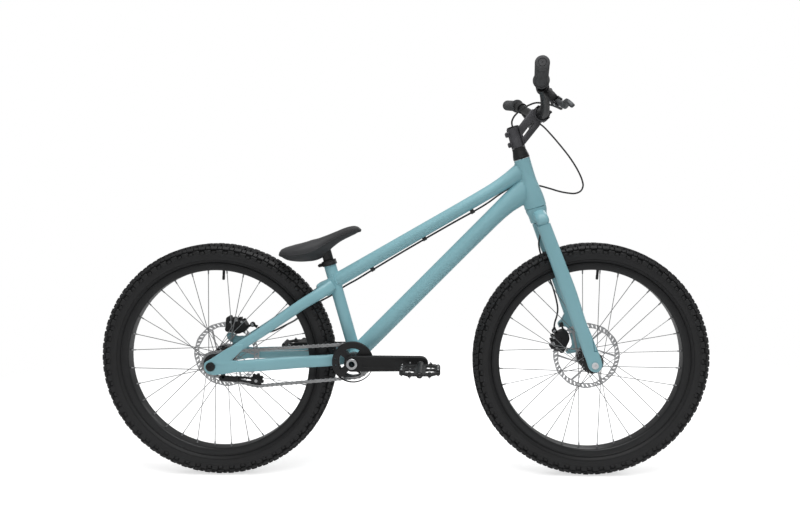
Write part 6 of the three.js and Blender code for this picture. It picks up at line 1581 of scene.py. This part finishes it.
# The brake hoses: thin black nylon hoses. The front one drops through the steerer; the rear one loops in
# front of the bar, then runs under the top tube in three clips and over the left seatstay.
def through(points, steps=8):
    """A smooth line through the points, evenly wound so that it can't loop between near points."""
    points = [Vector(p) / 1000 for p in points]
    points = [points[0] * 2 - points[1], *points, points[-1] * 2 - points[-2]]
    line = []
    for i in range(1, len(points) - 2):
        p0, p1, p2, p3 = points[i - 1:i + 3]
        t1 = (p1 - p0).length ** 0.5
        t2 = t1 + (p2 - p1).length ** 0.5
        t3 = t2 + (p3 - p2).length ** 0.5
        for step in range(steps):
            t = t1 + (t2 - t1) * step / steps
            a1 = p0 * ((t1 - t) / t1) + p1 * (t / t1)
            a2 = p1 * ((t2 - t) / (t2 - t1)) + p2 * ((t - t1) / (t2 - t1))
            a3 = p2 * ((t3 - t) / (t3 - t2)) + p3 * ((t - t2) / (t3 - t2))
            b1 = a1 * ((t2 - t) / t2) + a2 * (t / t2)
            b2 = a2 * ((t3 - t) / (t3 - t1)) + a3 * ((t - t1) / (t3 - t1))
            line.append(b1 * ((t2 - t) / (t2 - t1)) + b2 * ((t - t1) / (t2 - t1)))
    return [*line, points[-2]]


port = on_lever(0.0474, -0.0291) * 1000
front_route = [
    port, (375.5, -182, 943.9), (377.3, -165, 944.9), (374.2, -128, 953.3), (366.9, -85, 963.6),
    (354, -52, 971.5), (336.5, -36, 974.8), (320.5, -27, 970.2), (304.8, -19, 961.6), (291.5, -9, 951),
    (283.6, -2, 940.5), (280.5, 0, 929.4), (282.5, 0, 918.5), (285.2, 0, 909.2), (309.5, 0, 827.7),
    (332.4, 0, 751), (352.4, 0, 684), (358.1, 0, 664.8), (359.8, 7, 648.6), (358.6, 22, 631.5),
    (358.5, 36, 612.8), (365.6, 43, 583.5), (383.7, 47, 536.8), (404.3, 50, 480.3), (413.7, 50.5, 436.2),
    (411.2, 49, 416.6), (406.3, 47, 401.6), (404.3, 45.5, 390.6), (404.4, 45, 383.4),
]
loop_route = [
    (port.x, -port.y, port.z), (368.4, 181, 941), (369, 160, 938), (365, 130, 938), (362, 100, 938),
    (374, 78, 925), (392, 64, 903), (413, 56, 877), (440, 51, 842), (461, 50, 809), (473, 50, 783),
    (476, 50, 767), (470, 49, 754), (455, 48, 747.5), (436, 46, 748.5), (412, 43, 753), (385, 40, 761),
    (358, 37, 768), (330, 35, 771.5), (303, 31, 770), (276, 27, 760), (250, 22.5, 744), (225, 13, 726.5),
    (203, 4, 713), (181, 0, 700.6),
]
frame_route = [
    (180.65, 0, 700.4), (146, 0, 681.5), (94.6, 0, 652.5), (43, 0, 622.8), (-9, 0, 592.5),
    (-61, 0, 561.5), (-92, 0, 542.8), (-125, 5, 522.5), (-150, 17, 508), (-172, 25.5, 494),
    (-198, 29.5, 476), (-230, 38, 458), (-262, 48, 436), (-295, 56, 408), (-331, 57.5, 388),
    (-361, 57, 374), (-377, 56, 371.5), (-392, 54, 377), (-403, 52.6, 385),
]
nylon = finish_of("hose_jacket", (0.022, 0.0225, 0.024), 0.42, grain=2400, bump=0.12, mottle=0.08)
settle(wire(through(front_route), 0.0023, roundness=3), "front_hose_skin", nylon, "steering", "hose_jacket",
       "front_hose")
loop = wire(through(loop_route), 0.0023, roundness=3)
loop.name = "rear_hose_loop_skin"
loop.data.materials.clear()
loop.data.materials.append(nylon)
clear_selection()
loop.select_set(True)
bpy.context.view_layer.objects.active = loop
bpy.ops.object.shade_smooth_by_angle(angle=math.radians(50))
loop.select_set(False)
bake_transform(loop)
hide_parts("rear_hose_loop")
hose_line = through(frame_route)
hose_pieces = [wire(hose_line, 0.0025, roundness=3)]
tube_run = (top_tube_end - seat_junction).normalized()
tube_down = Vector((tube_run.z, 0, -tube_run.x))
for share in (0.72, 0.45, 0.18):
    middle = seat_junction.lerp(top_tube_end, share)
    near = min(hose_line, key=lambda point: abs((point - middle).dot(tube_run)))
    hose_pieces.append(turned([
        (-0.0055, 0.0026), (-0.0055, 0.0038), (-0.0050, 0.0043), (0.0050, 0.0043), (0.0055, 0.0038),
        (0.0055, 0.0026),
    ], near, tube_run, 20))
    clear_selection()
    bpy.ops.mesh.primitive_cube_add(size=1)
    foot_block = bpy.context.object
    gap = (near - middle).dot(tube_down) - 0.0165
    upright = Matrix((tube_run, Vector((0, 1, 0)), -tube_down)).transposed().to_4x4()
    stretch = Matrix.Diagonal((0.0105, 0.0070, gap + 0.002, 1))
    foot_block.matrix_world = Matrix.Translation(near - tube_down * (gap / 2)) @ upright @ stretch
    bpy.ops.object.transform_apply(location=True, rotation=True, scale=True)
    soften = foot_block.modifiers.new("soften", "BEVEL")
    soften.width = 0.0008
    soften.segments = 2
    bpy.ops.object.modifier_apply(modifier="soften")
    hose_pieces.append(foot_block)
settle(joined(hose_pieces), "rear_hose_frame_skin", nylon, "frame", "hose_jacket", "rear_hose_frame")
